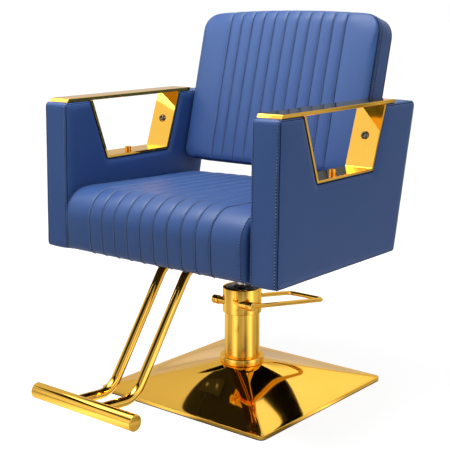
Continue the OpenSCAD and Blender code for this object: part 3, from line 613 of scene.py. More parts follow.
def gold(pale, deep):
    """Mirror-polished plating with faint haze and fine hairlines."""
    look = Look("gold_plating", Metallic=1.0, Specular_Tint=(1.0, 0.84, 0.56, 1.0))
    haze = look.noise(9.0, 4.0, 0.6)
    hair = look.noise(240.0, 2.0, 0.5, (1.0, 1.0, 12.0))
    look.feed("Base Color", look.mix(haze, deep, pale))
    look.feed("Roughness", (haze * 0.05 + hair * 0.02 + 0.012).clamped())
    look.bump(hair, 0.00001, 0.1)
    return look.material


def metal(name, dark, light, low, high, scale=60.0):
    """Metal with a fine grain, whose roughness goes from low to high."""
    look = Look(name, Metallic=1.0)
    grain = look.noise(scale, 4.0, 0.6)
    look.feed("Base Color", look.mix(grain, dark, light))
    look.feed("Roughness", grain * (high - low) + low)
    look.bump(grain, 0.00002, 0.2)
    return look.material


def coated(name, dark, light, low, high, bump=0.00004, scale=900.0):
    """Paint, rubber, plastic or cloth lining: fine grain over slow patches."""
    look = Look(name, Specular_IOR_Level=0.45)
    grain = look.noise(scale, 3.0, 0.6)
    patches = look.noise(14.0, 3.0)
    look.feed("Base Color", look.mix((grain * 0.5 + patches * 0.5).clamped(), dark, light))
    look.feed("Roughness", grain * (high - low) + low)
    look.bump(grain, bump, 0.4)
    return look.material


# Radians in a metre of the stripes of the plies and of the twist of the thread.
PLY_WAVES, TWIST_WAVES = 2200.0, 5200.0


def plywood():
    """Plywood seen from its edges, with a black cloth lining below."""
    look = Look("plywood", Specular_IOR_Level=0.3)
    figure = look.noise(22.0, 6.0, 0.6, (1.0, 9.0, 9.0))
    plies = (look.axis("Z") * PLY_WAVES).sine() * 0.5 + 0.5
    wood = look.mix((figure * 0.6 + plies * 0.4).clamped(), (0.22, 0.13, 0.06), (0.45, 0.30, 0.16))
    weave = look.noise(600.0, 2.0)
    lining = look.mix(weave, (0.006, 0.006, 0.007), (0.016, 0.016, 0.018))
    look.feed("Base Color", look.mix(look.facing_down(), wood, lining))
    look.feed("Roughness", figure * 0.2 + 0.6)
    look.bump(plies * 0.5 + weave * 0.5, 0.0001, 0.3)
    return look.material


def thread(pale, deep):
    """Twisted sewing thread."""
    look = Look("thread", Specular_IOR_Level=0.3)
    twist = (look.axis("Z") * TWIST_WAVES + look.axis("Y") * TWIST_WAVES).sine() * 0.5 + 0.5
    look.feed("Base Color", look.mix(twist, deep, pale))
    look.feed("Roughness", twist * 0.1 + 0.5)
    look.bump(twist, 0.0001, 0.5)
    return look.material


def make_looks():
    f = settings("finish")
    return {
        "leather": leather("blue_leather", f.leather, f.leather_deep),
        # Near-black, dull leather for the cords in the seams and along the edge seams: painted
        # shade in the creases.
        "leather_dark": leather("blue_leather_fold", f.seam, tint(f.seam, 0.7), specular=0.04,
                                dull=0.4),
        "gold": gold(f.gold, f.gold_deep),
        "chrome": metal("chrome", tint(f.chrome, 0.9), f.chrome, 0.12, 0.22),
        "dark_chrome": metal("dark_chrome", (0.11, 0.10, 0.085), (0.17, 0.155, 0.13), 0.06, 0.12),
        "zinc": metal("zinc", (0.42, 0.43, 0.44), (0.62, 0.63, 0.64), 0.22, 0.38, scale=240.0),
        "bronze": metal("bronze", (0.40, 0.25, 0.10), (0.55, 0.36, 0.17), 0.2, 0.35,
                        scale=160.0),
        "black_steel": coated("black_powder_coat", tint(f.steel, 0.5), f.steel, 0.38, 0.55),
        "cast_iron": coated("cast_iron", (0.022, 0.022, 0.023), (0.05, 0.05, 0.052), 0.6, 0.8,
                            bump=0.0003, scale=300.0),
        "rubber": coated("rubber", tint(f.rubber, 0.5), f.rubber, 0.6, 0.8),
        "black_plastic": coated("black_plastic", tint(f.plastic, 0.5), f.plastic, 0.22, 0.34,
                                bump=0.00002),
        "plywood": plywood(),
        "lining": coated("black_lining", (0.006, 0.006, 0.007), (0.014, 0.014, 0.016), 0.7, 0.85,
                         bump=0.0001),
        "thread": thread(f.thread, f.thread_deep),
    }


LOOKS = {}
NODE_LOOKS = {
    "base_gasket": "rubber", "base_plate": "black_steel", "base_weight": "cast_iron",
    "pump_foot": "black_steel", "foot_bolts": "zinc", "pressure_tube": "zinc",
    "pump_head": "zinc", "guide_bush": "bronze", "thrust_washer": "bronze",
    "seat_plate": "black_steel", "seat_bolts": "zinc", "seat_board": "plywood",
    "footrest_bracket": "black_steel", "footrest_bolts": "zinc", "arm_straps": "black_steel",
    "strap_screws": "zinc", "back_spacers": "zinc", "back_bolts": "zinc",
}


def dress(obj, body, slot, *nodes):
    """Gives a finished piece the material of its slot, hangs it on its body, and hides the CAD
    nodes it stands for.
    """
    obj.data.materials.clear()
    obj.data.materials.append(LOOKS[slot])
    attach(obj, body)
    if nodes:
        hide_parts(*nodes)
    return obj


def add_crisp(name, part, degrees, body, slot, *nodes):
    """Piece of metal or plastic whose edges stay sharp beyond an angle."""
    obj = new_piece(name, *part)
    sharpen(obj, degrees)
    return dress(obj, body, slot, *nodes)


# Cloth

def inflate(obj, pinned):
    """Lets air pressure fill the panels between pinned seams, then caps how far a point moves."""
    s = settings("cloth")
    rest = [v.co.copy() for v in obj.data.vertices]
    obj.vertex_groups.new(name="seams").add(pinned, 1.0, "REPLACE")
    modifier = obj.modifiers.new("Cloth", "CLOTH")
    cloth = modifier.settings
    cloth.quality = 4
    cloth.mass = 0.3
    cloth.tension_stiffness = 12
    cloth.compression_stiffness = 12
    cloth.shear_stiffness = 4
    cloth.bending_stiffness = 0.6
    cloth.use_pressure = True
    cloth.uniform_pressure_force = s.pressure
    cloth.effector_weights.gravity = 0
    cloth.vertex_group_mass = "seams"
    modifier.collision_settings.use_collision = False
    modifier.point_cache.frame_start = 1
    modifier.point_cache.frame_end = s.frames
    scene = bpy.context.scene
    for f in range(1, s.frames + 1):
        scene.frame_set(f)
    shaped = obj.evaluated_get(bpy.context.evaluated_depsgraph_get())
    after = [v.co.copy() for v in shaped.data.vertices]
    obj.modifiers.remove(modifier)
    obj.vertex_groups.clear()
    scene.frame_set(1)
    cap = s.cap * MM
    for v, a, b in zip(obj.data.vertices, rest, after):
        move = b - a
        if move.length > 0:
            v.co = a + move.normalized() * cap * (1 - math.exp(-move.length / cap))
    obj.data.update()


def refine(obj):
    """Adds one smooth subdivision and applies it. The first points keep their order."""
    modifier = obj.modifiers.new("Subdivision", "SUBSURF")
    modifier.levels = modifier.render_levels = 1
    mesh = apply(obj)
    mesh.polygons.foreach_set("use_smooth", [True] * len(mesh.polygons))


# Stitches and piping

# How far the near-black cords of painted seam shade and the stitches stand off the leather, in
# millimetres.
FOLD_LIFT, SEAM_STITCH_LIFT, TOPSTITCH_LIFT = 0.1, 1.4, 0.6

# A stitch's profile as (share of its length, share of the thread's radius).
STITCH = ((-0.5, 0.35), (-0.42, 0.8), (-0.2, 1.0), (0.2, 1.0), (0.42, 0.8), (0.5, 0.35))


def group_tree(name, inputs):
    """New geometry node tree with named inputs. Returns its graph and the inputs' node."""
    tree = bpy.data.node_groups.new(name, "GeometryNodeTree")
    tree.interface.new_socket("Result", in_out="OUTPUT", socket_type="NodeSocketGeometry")
    for label, kind in inputs:
        tree.interface.new_socket(label, in_out="INPUT", socket_type="NodeSocket" + kind)
    graph = Graph(tree)
    return graph, graph.add("NodeGroupInput")


def finish_tree(graph, geometry, material):
    """Ends a tree in real mesh with its material."""
    real = graph.add("GeometryNodeRealizeInstances", None, {0: geometry})
    paint = graph.add("GeometryNodeSetMaterial", None, {"Geometry": real, "Material": material})
    graph.add("NodeGroupOutput", None, {0: paint})
    return graph.tree


def stitch_tree():
    """Points along each row, with one stitch of a slightly different length on each."""
    graph, rows = group_tree("stitch_rows", (
        ("Rows", "Geometry"), ("Pitch", "Float"), ("Stitch object", "Object"),
        ("Thread material", "Material"), ("Seed", "Int")))
    even = graph.add("GeometryNodeResampleCurve", {"mode": "LENGTH"},
                     {"Curve": rows, "Length": rows.sibling("Pitch")})
    stitch = graph.add("GeometryNodeObjectInfo", None, {"Object": rows.sibling("Stitch object")},
                       "Geometry")
    along = graph.add("FunctionNodeAlignRotationToVector", {"axis": "Z"},
                      {"Vector": graph.add("GeometryNodeInputTangent")})
    size = graph.add("FunctionNodeRandomValue", {"data_type": "FLOAT"},
                     {2: 0.9, 3: 1.06, "Seed": rows.sibling("Seed")}, 1)
    placed = graph.add("GeometryNodeInstanceOnPoints", None,
                       {"Points": even, "Instance": stitch, "Rotation": along, "Scale": size})
    return finish_tree(graph, placed, rows.sibling("Thread material"))


def piping_tree():
    """A round cord along each row, in the given leather; it carries the painted shade of the seams.
    """
    graph, rows = group_tree("piping", (
        ("Rows", "Geometry"), ("Radius", "Float"), ("Leather material", "Material")))
    ring = graph.add("GeometryNodeCurvePrimitiveCircle", {"mode": "RADIUS"},
                     {"Resolution": 6, "Radius": rows.sibling("Radius")})
    tube = graph.add("GeometryNodeCurveToMesh", None,
                     {"Curve": rows, "Profile Curve": ring, "Fill Caps": True})
    return finish_tree(graph, tube, rows.sibling("Leather material"))


def lobe_tree():
    """Upright lobes spaced evenly round a circle."""
    graph, start = group_tree("lobe_ring", (
        ("Blank", "Geometry"), ("Lobes", "Int"), ("Circle radius", "Float"), ("Height", "Float"),
        ("Lobe object", "Object"), ("Plastic material", "Material")))
    circle = graph.add("GeometryNodeMeshCircle", {"fill_type": "NONE"},
                       {"Vertices": start.sibling("Lobes"),
                        "Radius": start.sibling("Circle radius")})
    rise = graph.add("ShaderNodeCombineXYZ", None, {"Z": start.sibling("Height")})
    raised = graph.add("GeometryNodeSetPosition", None, {"Geometry": circle, "Offset": rise})
    lobe = graph.add("GeometryNodeObjectInfo", None, {"Object": start.sibling("Lobe object")},
                     "Geometry")
    placed = graph.add("GeometryNodeInstanceOnPoints", None, {"Points": raised, "Instance": lobe})
    return finish_tree(graph, placed, start.sibling("Plastic material"))


def grown(name, data, tree, values):
    """Runs a tree on curve or mesh data, and keeps what it makes as a plain mesh object."""
    holder = bpy.data.objects.new(name + "_rows", data)
    bpy.context.scene.collection.objects.link(holder)
    modifier = holder.modifiers.new(name, "NODES")
    modifier.node_group = tree
    for entry in tree.interface.items_tree:
        if entry.in_out == "INPUT" and entry.name in values:
            modifier[entry.identifier] = values[entry.name]
    shaped = holder.evaluated_get(bpy.context.evaluated_depsgraph_get())
    mesh = bpy.data.meshes.new_from_object(shaped)
    bpy.data.objects.remove(holder)
    mesh.polygons.foreach_set("use_smooth", [True] * len(mesh.polygons))
    obj = bpy.data.objects.new(name, mesh)
    bpy.context.scene.collection.objects.link(obj)
    return obj


def rows_curve(name, rows):
    """Curve of one straight-sided spline for each row of places in metres."""
    curve = bpy.data.curves.new(name + "_rows", "CURVE")
    curve.dimensions = "3D"
    for row in rows:
        spline = curve.splines.new("POLY")
        spline.points.add(len(row) - 1)
        for point, place in zip(spline.points, row):
            point.co = (*place, 1.0)
    return curve


def tree_named(name, make):
    """A geometry node tree that is made only once."""
    return bpy.data.node_groups.get(name) or make()


def sew(name, rows, body):
    """Stitches along rows of places in metres."""
    t = settings("thread")
    rings = []
    for share, girth in STITCH:
        rings.append([Vector((math.cos(a) * girth * t.radius, math.sin(a) * girth * t.radius,
                              share * t.stitch))
                      for a in (k * math.pi / 3 for k in range(6))])
    stitch = new_piece("stitch", *loft(rings))
    obj = grown(name, rows_curve(name, rows), tree_named("stitch_rows", stitch_tree),
                {"Pitch": t.pitch * MM, "Stitch object": stitch, "Thread material": LOOKS["thread"],
                 "Seed": t.seed})
    bpy.data.objects.remove(stitch)
    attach(obj, body)


def fold(name, rows, radius, body):
    """Near-black cords along rows of places in metres: painted shade in the folds of the seams."""
    obj = grown(name, rows_curve(name, rows), tree_named("piping", piping_tree),
                {"Radius": radius * MM, "Leather material": LOOKS["leather_dark"]})
    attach(obj, body)


def along(obj, points, lift, closed=False):
    """Places of some of a piece's points, lifted off its surface, in metres."""
    verts = obj.data.vertices
    made = [verts[i].co + verts[i].normal * lift * MM for i in points]
    return made + made[:1] if closed else made


def rows_along(obj, rows, lift, closed=False):
    """The same for each row of points."""
    return [along(obj, row, lift, closed) for row in rows]


def line_below(obj, height):
    """Gives the faces that look down near an upholstered piece's foot a black lining."""
    obj.data.materials.append(LOOKS["lining"])
    looks_down = -0.8
    for face in obj.data.polygons:
        if face.normal.z < looks_down and face.center.z < height * MM:
            face.material_index = 1


# Seat

# Places across one channel as (share of the pitch, share of the seam's depth), and the same
# from the roll of a cushion's side to its first seam.
CHANNEL = ((0.0, 1.0), (0.035, 0.62), (0.08, 0.34), (0.16, 0.15), (0.3, 0.04), (0.5, 0.0),
           (0.7, 0.04), (0.84, 0.15), (0.92, 0.34), (0.965, 0.62))
OUTER_CHANNEL = ((0.3, 0.0), (0.6, 0.04), (0.8, 0.15), (0.9, 0.34), (0.955, 0.62))

# Places across the roll of a cushion's side, from the side inwards.
SEAT_SIDE = (0.0, 1.0, 3.0, 6.0, 10.0, 15.0, 22.0)
BACK_SIDE = (0.0, 1.0, 3.5, 8.0, 14.0, 21.0, 30.0)


def stations(half_width, seams, pitch, side):
    """Places across a channelled cushion as (x, share of a seam's depth)."""
    last = (seams - 1) / 2 * pitch
    gap = half_width - side[-1] - last
    made = [(d - half_width, 0.0) for d in side]
    made += [(side[-1] - half_width + gap * s, depth) for s, depth in OUTER_CHANNEL]
    for k in range(seams - 1):
        made += [((k + s) * pitch - last, depth) for s, depth in CHANNEL]
    made.append((last, 1.0))
    made += [(half_width - side[-1] - gap * s, depth) for s, depth in reversed(OUTER_CHANNEL)]
    return made + [(half_width - d, 0.0) for d in reversed(side)]


def build_seat():
    s = settings("seat")
    rear_roll, toe_roll, toe_back = 24.0, 20.0, 7.0
    corners = [Vector(p) for p in ((s.rear, s.board_top), (s.rear, s.top - s.drop),
                                   (-s.front, s.top), (toe_back - s.front, s.foot),
                                   (-s.board_front, s.foot), (-s.board_front, s.board_top))]
    ring = outline(corners, [0, rear_roll, s.waterfall, toe_roll, 0, 0], n=12)
    ring = split(ring, even_steps(ring, step=10.0))
    m = len(ring)
    outward = outward_2d(ring)
    near = 1.0
    below = {j for j, p in enumerate(ring)
             if (p.y <= s.board_top + near and p.x > -s.board_front - near)
             or p.y < s.foot + near}
    places = stations(s.half_width, s.seams, s.pitch, SEAT_SIDE)
    hem, fill_height, sink, fullness = 4.0, 22.0, 1.0, 0.7
    rings, pinned, seam_columns = [], [], []
    for k, (x, depth) in enumerate(places):
        draw = corner_drop(x, s.half_width, s.edge)
        crown = s.crown * max(0.0, math.cos(math.pi / 2 * x / s.half_width)) ** fullness
        if depth == 1.0:
            seam_columns.append(k)
        column = []
        for j, p in enumerate(ring):
            hold = 0.0 if j in below else min(1.0, max(0.0, (p.y - s.foot) / fill_height))
            q = p + outward[j] * hold * (crown - sink - draw - s.channel * depth)
            column.append(Vector((x, q.x, q.y)))
            if j in below or depth == 1.0 or abs(x) > s.half_width - hem:
                pinned.append(k * m + j)
        rings.append(column)
    obj = new_piece("seat_upholstery", *loft(rings))
    inflate(obj, pinned)
    refine(obj)
    dress(obj, "seat", "leather", "seat_cushion")
    lining_height, edge_column, topstitch_end = 3.0, 4, -120.0
    line_below(obj, s.foot + lining_height)
    shown = [j for j in range(m) if j not in below]
    seams = [[k * m + j for j in shown] for k in seam_columns]
    edges = [[k * m + j for j in shown if ring[j].x < topstitch_end]
             for k in (edge_column, len(places) - 1 - edge_column)]
    t = settings("thread")
    # Near-black cords in the seams and along the topstitch: painted shade in the creases.
    fold("seat_seam_lines", rows_along(obj, seams, FOLD_LIFT), t.seam, "seat")
    fold("seat_needle_lines", rows_along(obj, edges, FOLD_LIFT), t.needle, "seat")
    sew("seat_stitches", rows_along(obj, seams, SEAM_STITCH_LIFT)
        + rows_along(obj, edges, TOPSTITCH_LIFT), "seat")


# Back

def back_place(x, v, u):
    """Point of the back from across, into its depth and up its length."""
    s = settings("back")
    a = s.recline
    return Vector((x, s.front + v * math.cos(a) + u * math.sin(a),
                   s.bottom + u * math.cos(a) - v * math.sin(a)))


# Rings round the back's edge. From the face to the wall: (outwards, down from the face). On the
# wall: (share of its width, outwards). At the rear: (outwards, distance from the rear).
FACE_EDGE = ((3.0, 0.7), (5.4, 2.2), (6.4, 4.2), (6.2, 5.4), (4.7, 6.3), (6.4, 7.4), (7.0, 9.5),
             (7.3, 12.0), (7.4, 15.0), (7.5, 18.0))
WALL = ((0.3, 7.8), (0.6, 7.8), (0.86, 7.2), (1.0, 6.8))
REAR_EDGE = ((5.0, 6.2), (6.6, 5.0), (6.0, 2.6), (3.2, 1.1))

# Rings of FACE_EDGE that carry the edge seam and the two rows of topstitch.
EDGE_SEAM, TOPSTITCHES = 4, (7, 9)


def row_shares(rows):
    """Shares of the face's height, closer together towards its foot and its top."""
    margin = 0.08
    shares = [0.5 - 0.5 * math.cos(math.pi * (margin + (1 - 2 * margin) * i / rows))
              for i in range(rows + 1)]
    lowest, highest = shares[0], shares[-1]
    return [(t - lowest) / (highest - lowest) for t in shares]


def back_columns(s, half, places, rows):
    """Columns up the face and up the rear, as (across, into the depth, up the length)."""
    foot_roll, top_share, foot_share, sink = 16.0, 0.55, 0.6, 1.0
    front, rear = [], []
    for x, depth in places:
        arch = s.arch * (x / s.half_width) ** 2
        low = s.edge + corner_drop(x, half, s.foot_radius - s.edge)
        high = s.height - s.edge - arch - corner_drop(x, half, s.top_radius - s.edge)
        column, other = [], []
        for t in row_shares(rows):
            u = low + t * (high - low)
            roll = top_share * rolled(s.roll - (s.height - arch - u), s.roll)
            roll += foot_share * rolled(foot_roll - u, foot_roll)
            swell = math.sin(math.pi * min(1.0, max(0.0, u / s.height))) ** 0.5
            crown = s.crown * math.cos(math.pi / 2 * x / s.half_width) * swell
            column.append((x, roll - crown + sink + s.channel * depth, u))
            other.append((x, s.depth - sink, u))
        front.append(column)
        rear.append(other)
    return front, rear


def build_back():
    s = settings("back")
    half = s.half_width - s.edge
    places = stations(half, s.seams, s.pitch, BACK_SIDE)
    rows = 46
    front, rear = back_columns(s, half, places, rows)
    n, up = len(places), rows + 1
    border = ([(k, 0) for k in range(n)] + [(n - 1, i) for i in range(1, up)]
              + [(k, rows) for k in range(n - 2, -1, -1)]
              + [(0, i) for i in range(rows - 1, 0, -1)])
    m = len(border)
    flat = [Vector((front[k][i][0], front[k][i][2])) for k, i in border]
    outward = outward_2d(flat)

    def edge_ring(push, depths):
        """The border, pushed outwards and with a depth for each of its points."""
        return [((p + o * push).x, v, (p + o * push).y) for p, o, v in zip(flat, outward, depths)]

    face_depth = [front[k][i][1] for k, i in border]
    rings = [edge_ring(push, [v + down for v in face_depth]) for push, down in FACE_EDGE]
    wall_depth = [v for _, v, _ in rings[-1]]
    wall_end = s.depth - 7.0
    rings += [edge_ring(push, [v + (wall_end - v) * share for v in wall_depth])
              for share, push in WALL]
    rings += [edge_ring(push, [s.depth - rise] * m) for push, rise in REAR_EDGE]
    verts = [back_place(*p) for column in front for p in column]
    faces = grid(n, up)
    loop = [k * up + i for k, i in border]
    for ring in rings:
        new = list(range(len(verts), len(verts) + m))
        verts += [back_place(*p) for p in ring]
        faces += band(loop, new)
        loop = new
    base = len(verts)
    verts += [back_place(*p) for column in rear for p in column]
    faces += grid(n, up, base, True)
    faces += band(loop, [base + k * up + i for k, i in border])
    obj = new_piece("back_upholstery", verts, faces)
    seams = [[k * up + i for i in range(up)] for k, (x, depth) in enumerate(places) if depth == 1.0]
    face_points = n * up

    def edge_row(ring):
        """Points of one of the edge's rings."""
        return [face_points + ring * m + j for j in range(m)]

    pinned = [i for line in seams for i in line]
    for ring in (EDGE_SEAM - 1, EDGE_SEAM, EDGE_SEAM + 1):
        pinned += edge_row(ring)
    pinned += list(range(face_points + len(FACE_EDGE) * m, len(verts)))
    inflate(obj, pinned)
    refine(obj)
    dress(obj, "seat", "leather", "back_cushion", "back_shell")
    t = settings("thread")
    # The seam lines, the welts and the needle lines are near-black cords: painted shade in the
    # seams' creases.
    fold("back_seam_lines", rows_along(obj, seams, FOLD_LIFT), t.seam, "seat")
    rear_seam = len(rings) - len(REAR_EDGE)
    front_lift, rear_lift = 0.3, 0.2
    fold("back_welt", [along(obj, edge_row(EDGE_SEAM), front_lift, True),
                       along(obj, edge_row(rear_seam), rear_lift, True)], t.welt, "seat")
    edges = [edge_row(ring) for ring in TOPSTITCHES]
    fold("back_needle_lines", rows_along(obj, edges, FOLD_LIFT, True), t.needle, "seat")
    sew("back_stitches", rows_along(obj, seams, SEAM_STITCH_LIFT)
        + rows_along(obj, edges, TOPSTITCH_LIFT, True), "seat")


# Arms

# Edges of one rounded corner of an arm's outline.
CORNER_STEPS = 5


def window_corners(s):
    """Corners of an arm's window, from the front's top over its foot to the rear's top."""
    top = s.bottom + s.height
    foot = top - s.window_depth
    return [(-s.window_front, top), (s.window_lean - s.window_front, foot),
            (s.window_rear - s.window_lean, foot), (s.window_rear, top)]


def arm_corners():
    """Corners of an arm's outline, their radii, and which of them turn inwards."""
    s = settings("arm")
    top = s.bottom + s.height
    corners = [(-s.front, s.bottom), (s.rear_foot, s.bottom), (s.rear_top, top),
               *reversed(window_corners(s)), (s.lean - s.front, top)]
    radii = [9.0, 2.0, 9.0, 3.0, 5.0, 5.0, 3.0, 9.0]
    reflex = [False, False, False, False, True, True, False, False]
    return [Vector(p) for p in corners], radii, reflex


def arm_ring(d, x, steps):
    """One ring of an arm's skin: its outline inset by d at the place x."""
    corners, radii, reflex = arm_corners()
    least, share = 0.6, 0.5
    radii = [r + d if inwards else max(least, r - d * share)
             for r, inwards in zip(radii, reflex)]
    ring = outline(inset(corners, d), radii, CORNER_STEPS)
    return [Vector((x, p.x, p.y)) for p in split(ring, steps)]


def in_window(p):
    """True on the part of an arm's edge that the window's liner or the cap covers."""
    s = settings("arm")
    top = s.bottom + s.height
    foot = top - s.window_depth
    near = 3
    lean = s.window_lean * (1 - (p.z - foot) / s.window_depth)
    in_slot = (p.z > foot - near
               and lean - s.window_front - near < p.y < s.window_rear - lean + near)
    under_cap = p.z > top - near and -s.cap_front < p.y < s.cap_rear
    return in_slot or under_cap


def runs(points, shown):
    """The stretches of a closed row of points that are shown."""
    start = next((i for i, keep in enumerate(shown) if not keep), 0)
    made, run = [], []
    for i in list(range(start, len(points))) + list(range(start)):
        if shown[i]:
            run.append(points[i])
        elif run:
            made.append(run)
            run = []
    if run:
        made.append(run)
    return [r for r in made if len(r) > 2]


def from_window(y, z):
    """Distance of a place on a side panel from the window's sloped legs and floor."""
    corners = [Vector(p) for p in window_corners(settings("arm"))]
    p = Vector((y, z))
    distances = []
    for a, b in zip(corners, corners[1:]):
        share = min(1.0, max(0.0, (p - a).dot(b - a) / (b - a).length_squared))
        distances.append((p - a - (b - a) * share).length)
    return min(distances)


def waves(p, side, across, along_arm):
    """Waves in an arm's leather, from the scales of their noise across and along the arm."""
    return noise.noise(Vector((side + p.x * across, p.y * along_arm, p.z * along_arm)))


def build_arms():
    s = settings("arm")
    half = s.width / 2
    middle = s.inner + half
    r = s.soft_edge
    corners, radii, _ = arm_corners()
    steps = even_steps(outline(corners, radii, CORNER_STEPS), step=9.0)

    def edge(degrees, dip=0.0):
        """Ring on the padded edge, sunk by dip."""
        a = math.radians(degrees)
        return r - (r - dip) * math.cos(a), half - r + (r - dip) * math.sin(a)

    # Rings of the skin from a side panel to the rim, as (inset, distance from the arm's middle).
    bands = [(34.0, half + s.puff), (24.0, half + s.puff * 0.96), (17.0, half + s.puff * 0.86),
             (12.0, half + s.puff * 0.62), (9.6, half + s.puff * 0.3), edge(84), edge(72),
             edge(62, 0.1), edge(55, 0.6), edge(50, s.seam_dip), edge(45, 0.6), edge(38, 0.1),
             edge(26), edge(14, 0.1), edge(8, 0.5), edge(2, 0.2)]
    crease, stitch_row = 9, 14
    bands += [(-0.35, half - 12.0), (-0.8, half - 19.0), (-1.0, half - 28.0)]
    rings = [arm_ring(d, middle + x, steps) for d, x in bands]
    rings.append(arm_ring(-1.0, middle, steps))
    rings += [arm_ring(d, middle - x, steps) for d, x in reversed(bands)]
    part = loft(rings)
    m = len(rings[0])
    last = len(rings) - 1
    slow_height, quick_height = 0.6, 0.35
    roll_reach, flank_start, flank_reach = 10.0, 12.0, 8.0
    lines, stitched, creases = [], [], []
    for side, name in SIDES:
        obj = new_piece("arm_%s_upholstery" % name, *on_side(part, side))
        for vert in obj.data.vertices:
            p = vert.co / MM
            slow = waves(p, side, 0.01, 0.012)
            quick = waves(p, side, 0.02, 0.045)
            out = 1 if abs(p.x) > middle else -1
            roll = s.window_roll * math.exp(-(from_window(p.y, p.z) / roll_reach) ** 2)
            from_flank = abs(abs(p.x) - middle) - half
            flank = min(1.0, max(0.0, (from_flank + flank_start) / flank_reach))
            vert.co.x += side * out * MM * (slow_height * slow + quick_height * quick
                                            - roll * flank)
        dress(obj, "seat", "leather", "arm_" + name)
        lining_height = 4.0
        line_below(obj, s.bottom + lining_height)
        for ring in (stitch_row, last - stitch_row):
            ids = [ring * m + j for j in range(m)]
            shown = [not in_window(rings[ring][j]) for j in range(m)]
            lines += rows_along(obj, runs(ids, shown), FOLD_LIFT)
            stitched += rows_along(obj, runs(ids, shown), TOPSTITCH_LIFT)
        for ring in (crease, last - crease):
            creases.append(along(obj, [ring * m + j for j in range(m)], 0.0, True))
    t = settings("thread")
    sew("arm_stitches", stitched, "seat")
    # The crease lines and needle lines are near-black cords: painted shade in the creases.
    fold("arm_seam_lines", creases, t.welt, "seat")
    fold("arm_needle_lines", lines, t.needle, "seat")


# Bright metal

# Degrees between two faces beyond which the edge between them is bevelled.
HARD_EDGE = 25


def bevelled(obj, width, segments):
    """Rounds the hard edges of a piece."""
    modifier = obj.modifiers.new("Bevel", "BEVEL")
    modifier.width = width * MM
    modifier.segments = segments
    modifier.limit_method = "ANGLE"
    modifier.angle_limit = math.radians(HARD_EDGE)
    modifier.harden_normals = True
    apply(obj)


def add_plate(name, profile, x0, x1, side, width, segments, node):
    """Bevelled gold plate from x0 to x1 with a [y, z] profile, or its mirror image."""
    part = loft([[Vector((x, p[0], p[1])) for p in profile] for x in (x0, x1)])
    obj = new_piece(name, *on_side(part, side), smooth=False)
    bevelled(obj, width, segments)
    dress(obj, "seat", "gold", node)


def build_trim():
    s = settings("arm")
    top = s.bottom + s.height
    foot = top - s.window_depth
    rise = 1.0
    slope = s.window_lean / s.window_depth
    wide = s.liner * math.hypot(1, slope)
    inner = slope * (s.window_depth - s.liner)
    under = top + rise
    middle = s.inner + s.width / 2
    points = [(-s.window_front - slope * rise, under), (s.window_lean - s.window_front, foot),
              (s.window_rear - s.window_lean, foot), (s.window_rear + slope * rise, under),
              (s.window_rear + slope * rise - wide, under),
              (s.window_rear - inner - wide, foot + s.liner),
              (inner + wide - s.window_front, foot + s.liner),
              (wide - s.window_front - slope * rise, under)]
    outer_bend, inner_bend = 4, 1.6
    liner = outline([Vector(p) for p in points],
                    [0, outer_bend, outer_bend, 0, 0, inner_bend, inner_bend, 0], n=5)
    margin, nose = 1.5, 6.0
    liner_bevel, cap_bevel = (0.6, 2), (1.3, 3)
    x0, x1 = s.inner + margin, s.inner + s.width - margin
    cap = [(-s.cap_front, under), (s.cap_rear, under), (s.cap_rear, under + s.cap_height),
           (nose - s.cap_front, under + s.cap_height)]
    for side, name in SIDES:
        add_plate("liner_%s_plate" % name, liner, x0, x1, side, *liner_bevel, "liner_" + name)
        add_plate("cap_%s_plate" % name, cap, middle - s.cap_width / 2, middle + s.cap_width / 2,
                  side, *cap_bevel, "cap_" + name)


def build_bolts():
    s = settings("arm")
    slope = s.window_lean / s.window_depth
    top = s.bottom + s.height
    wide = s.liner * math.hypot(1, slope)
    middle = s.inner + s.width / 2
    leg = (Matrix.Translation((middle, s.window_rear - slope * (top - s.leg_bolt) - wide,
                               s.leg_bolt))
           @ Matrix.Rotation(math.pi / 2 - math.atan(slope), 4, "X"))
    floor_height = top - s.window_depth + s.liner
    floor = Matrix.Translation((middle, -s.floor_bolt, floor_height))
    # Heads as (radius, height), each with its six-sided socket in the middle.
    button_socket, drum_socket, spare = 4.2, 3.2, 0.01
    button = rounded([(0.0, 1.6), (button_socket, 1.6), (button_socket, 5.6), (6.4, 5.3),
                      (8.4, 3.9), (9.5, 1.8), (9.5, 0.0), (0.0, 0.0)], 0.7, 3)
    drum = rounded([(0.0, 6.5), (drum_socket, 6.5), (drum_socket, 9.0), (8.0, 9.0), (8.0, 5.2),
                    (7.0, 4.8), (7.0, 4.2), (8.0, 3.8), (8.0, 0.0), (0.0, 0.0)], 0.35, 2)
    parts = []
    for profile, place, socket in ((button, leg, button_socket), (drum, floor, drum_socket)):
        part = moved(lathe(profile, 48, socket + spare), place)
        parts += [part, mirrored(part)]
    obj = add_crisp("liner_bolt_heads", join(*parts), 30, "seat", "gold", "liner_bolts")
    obj.data.materials.append(LOOKS["dark_chrome"])
    between = (s.leg_bolt + floor_height) / 2 * MM
    for face in obj.data.polygons:
        if face.center.z > between:
            face.material_index = 1


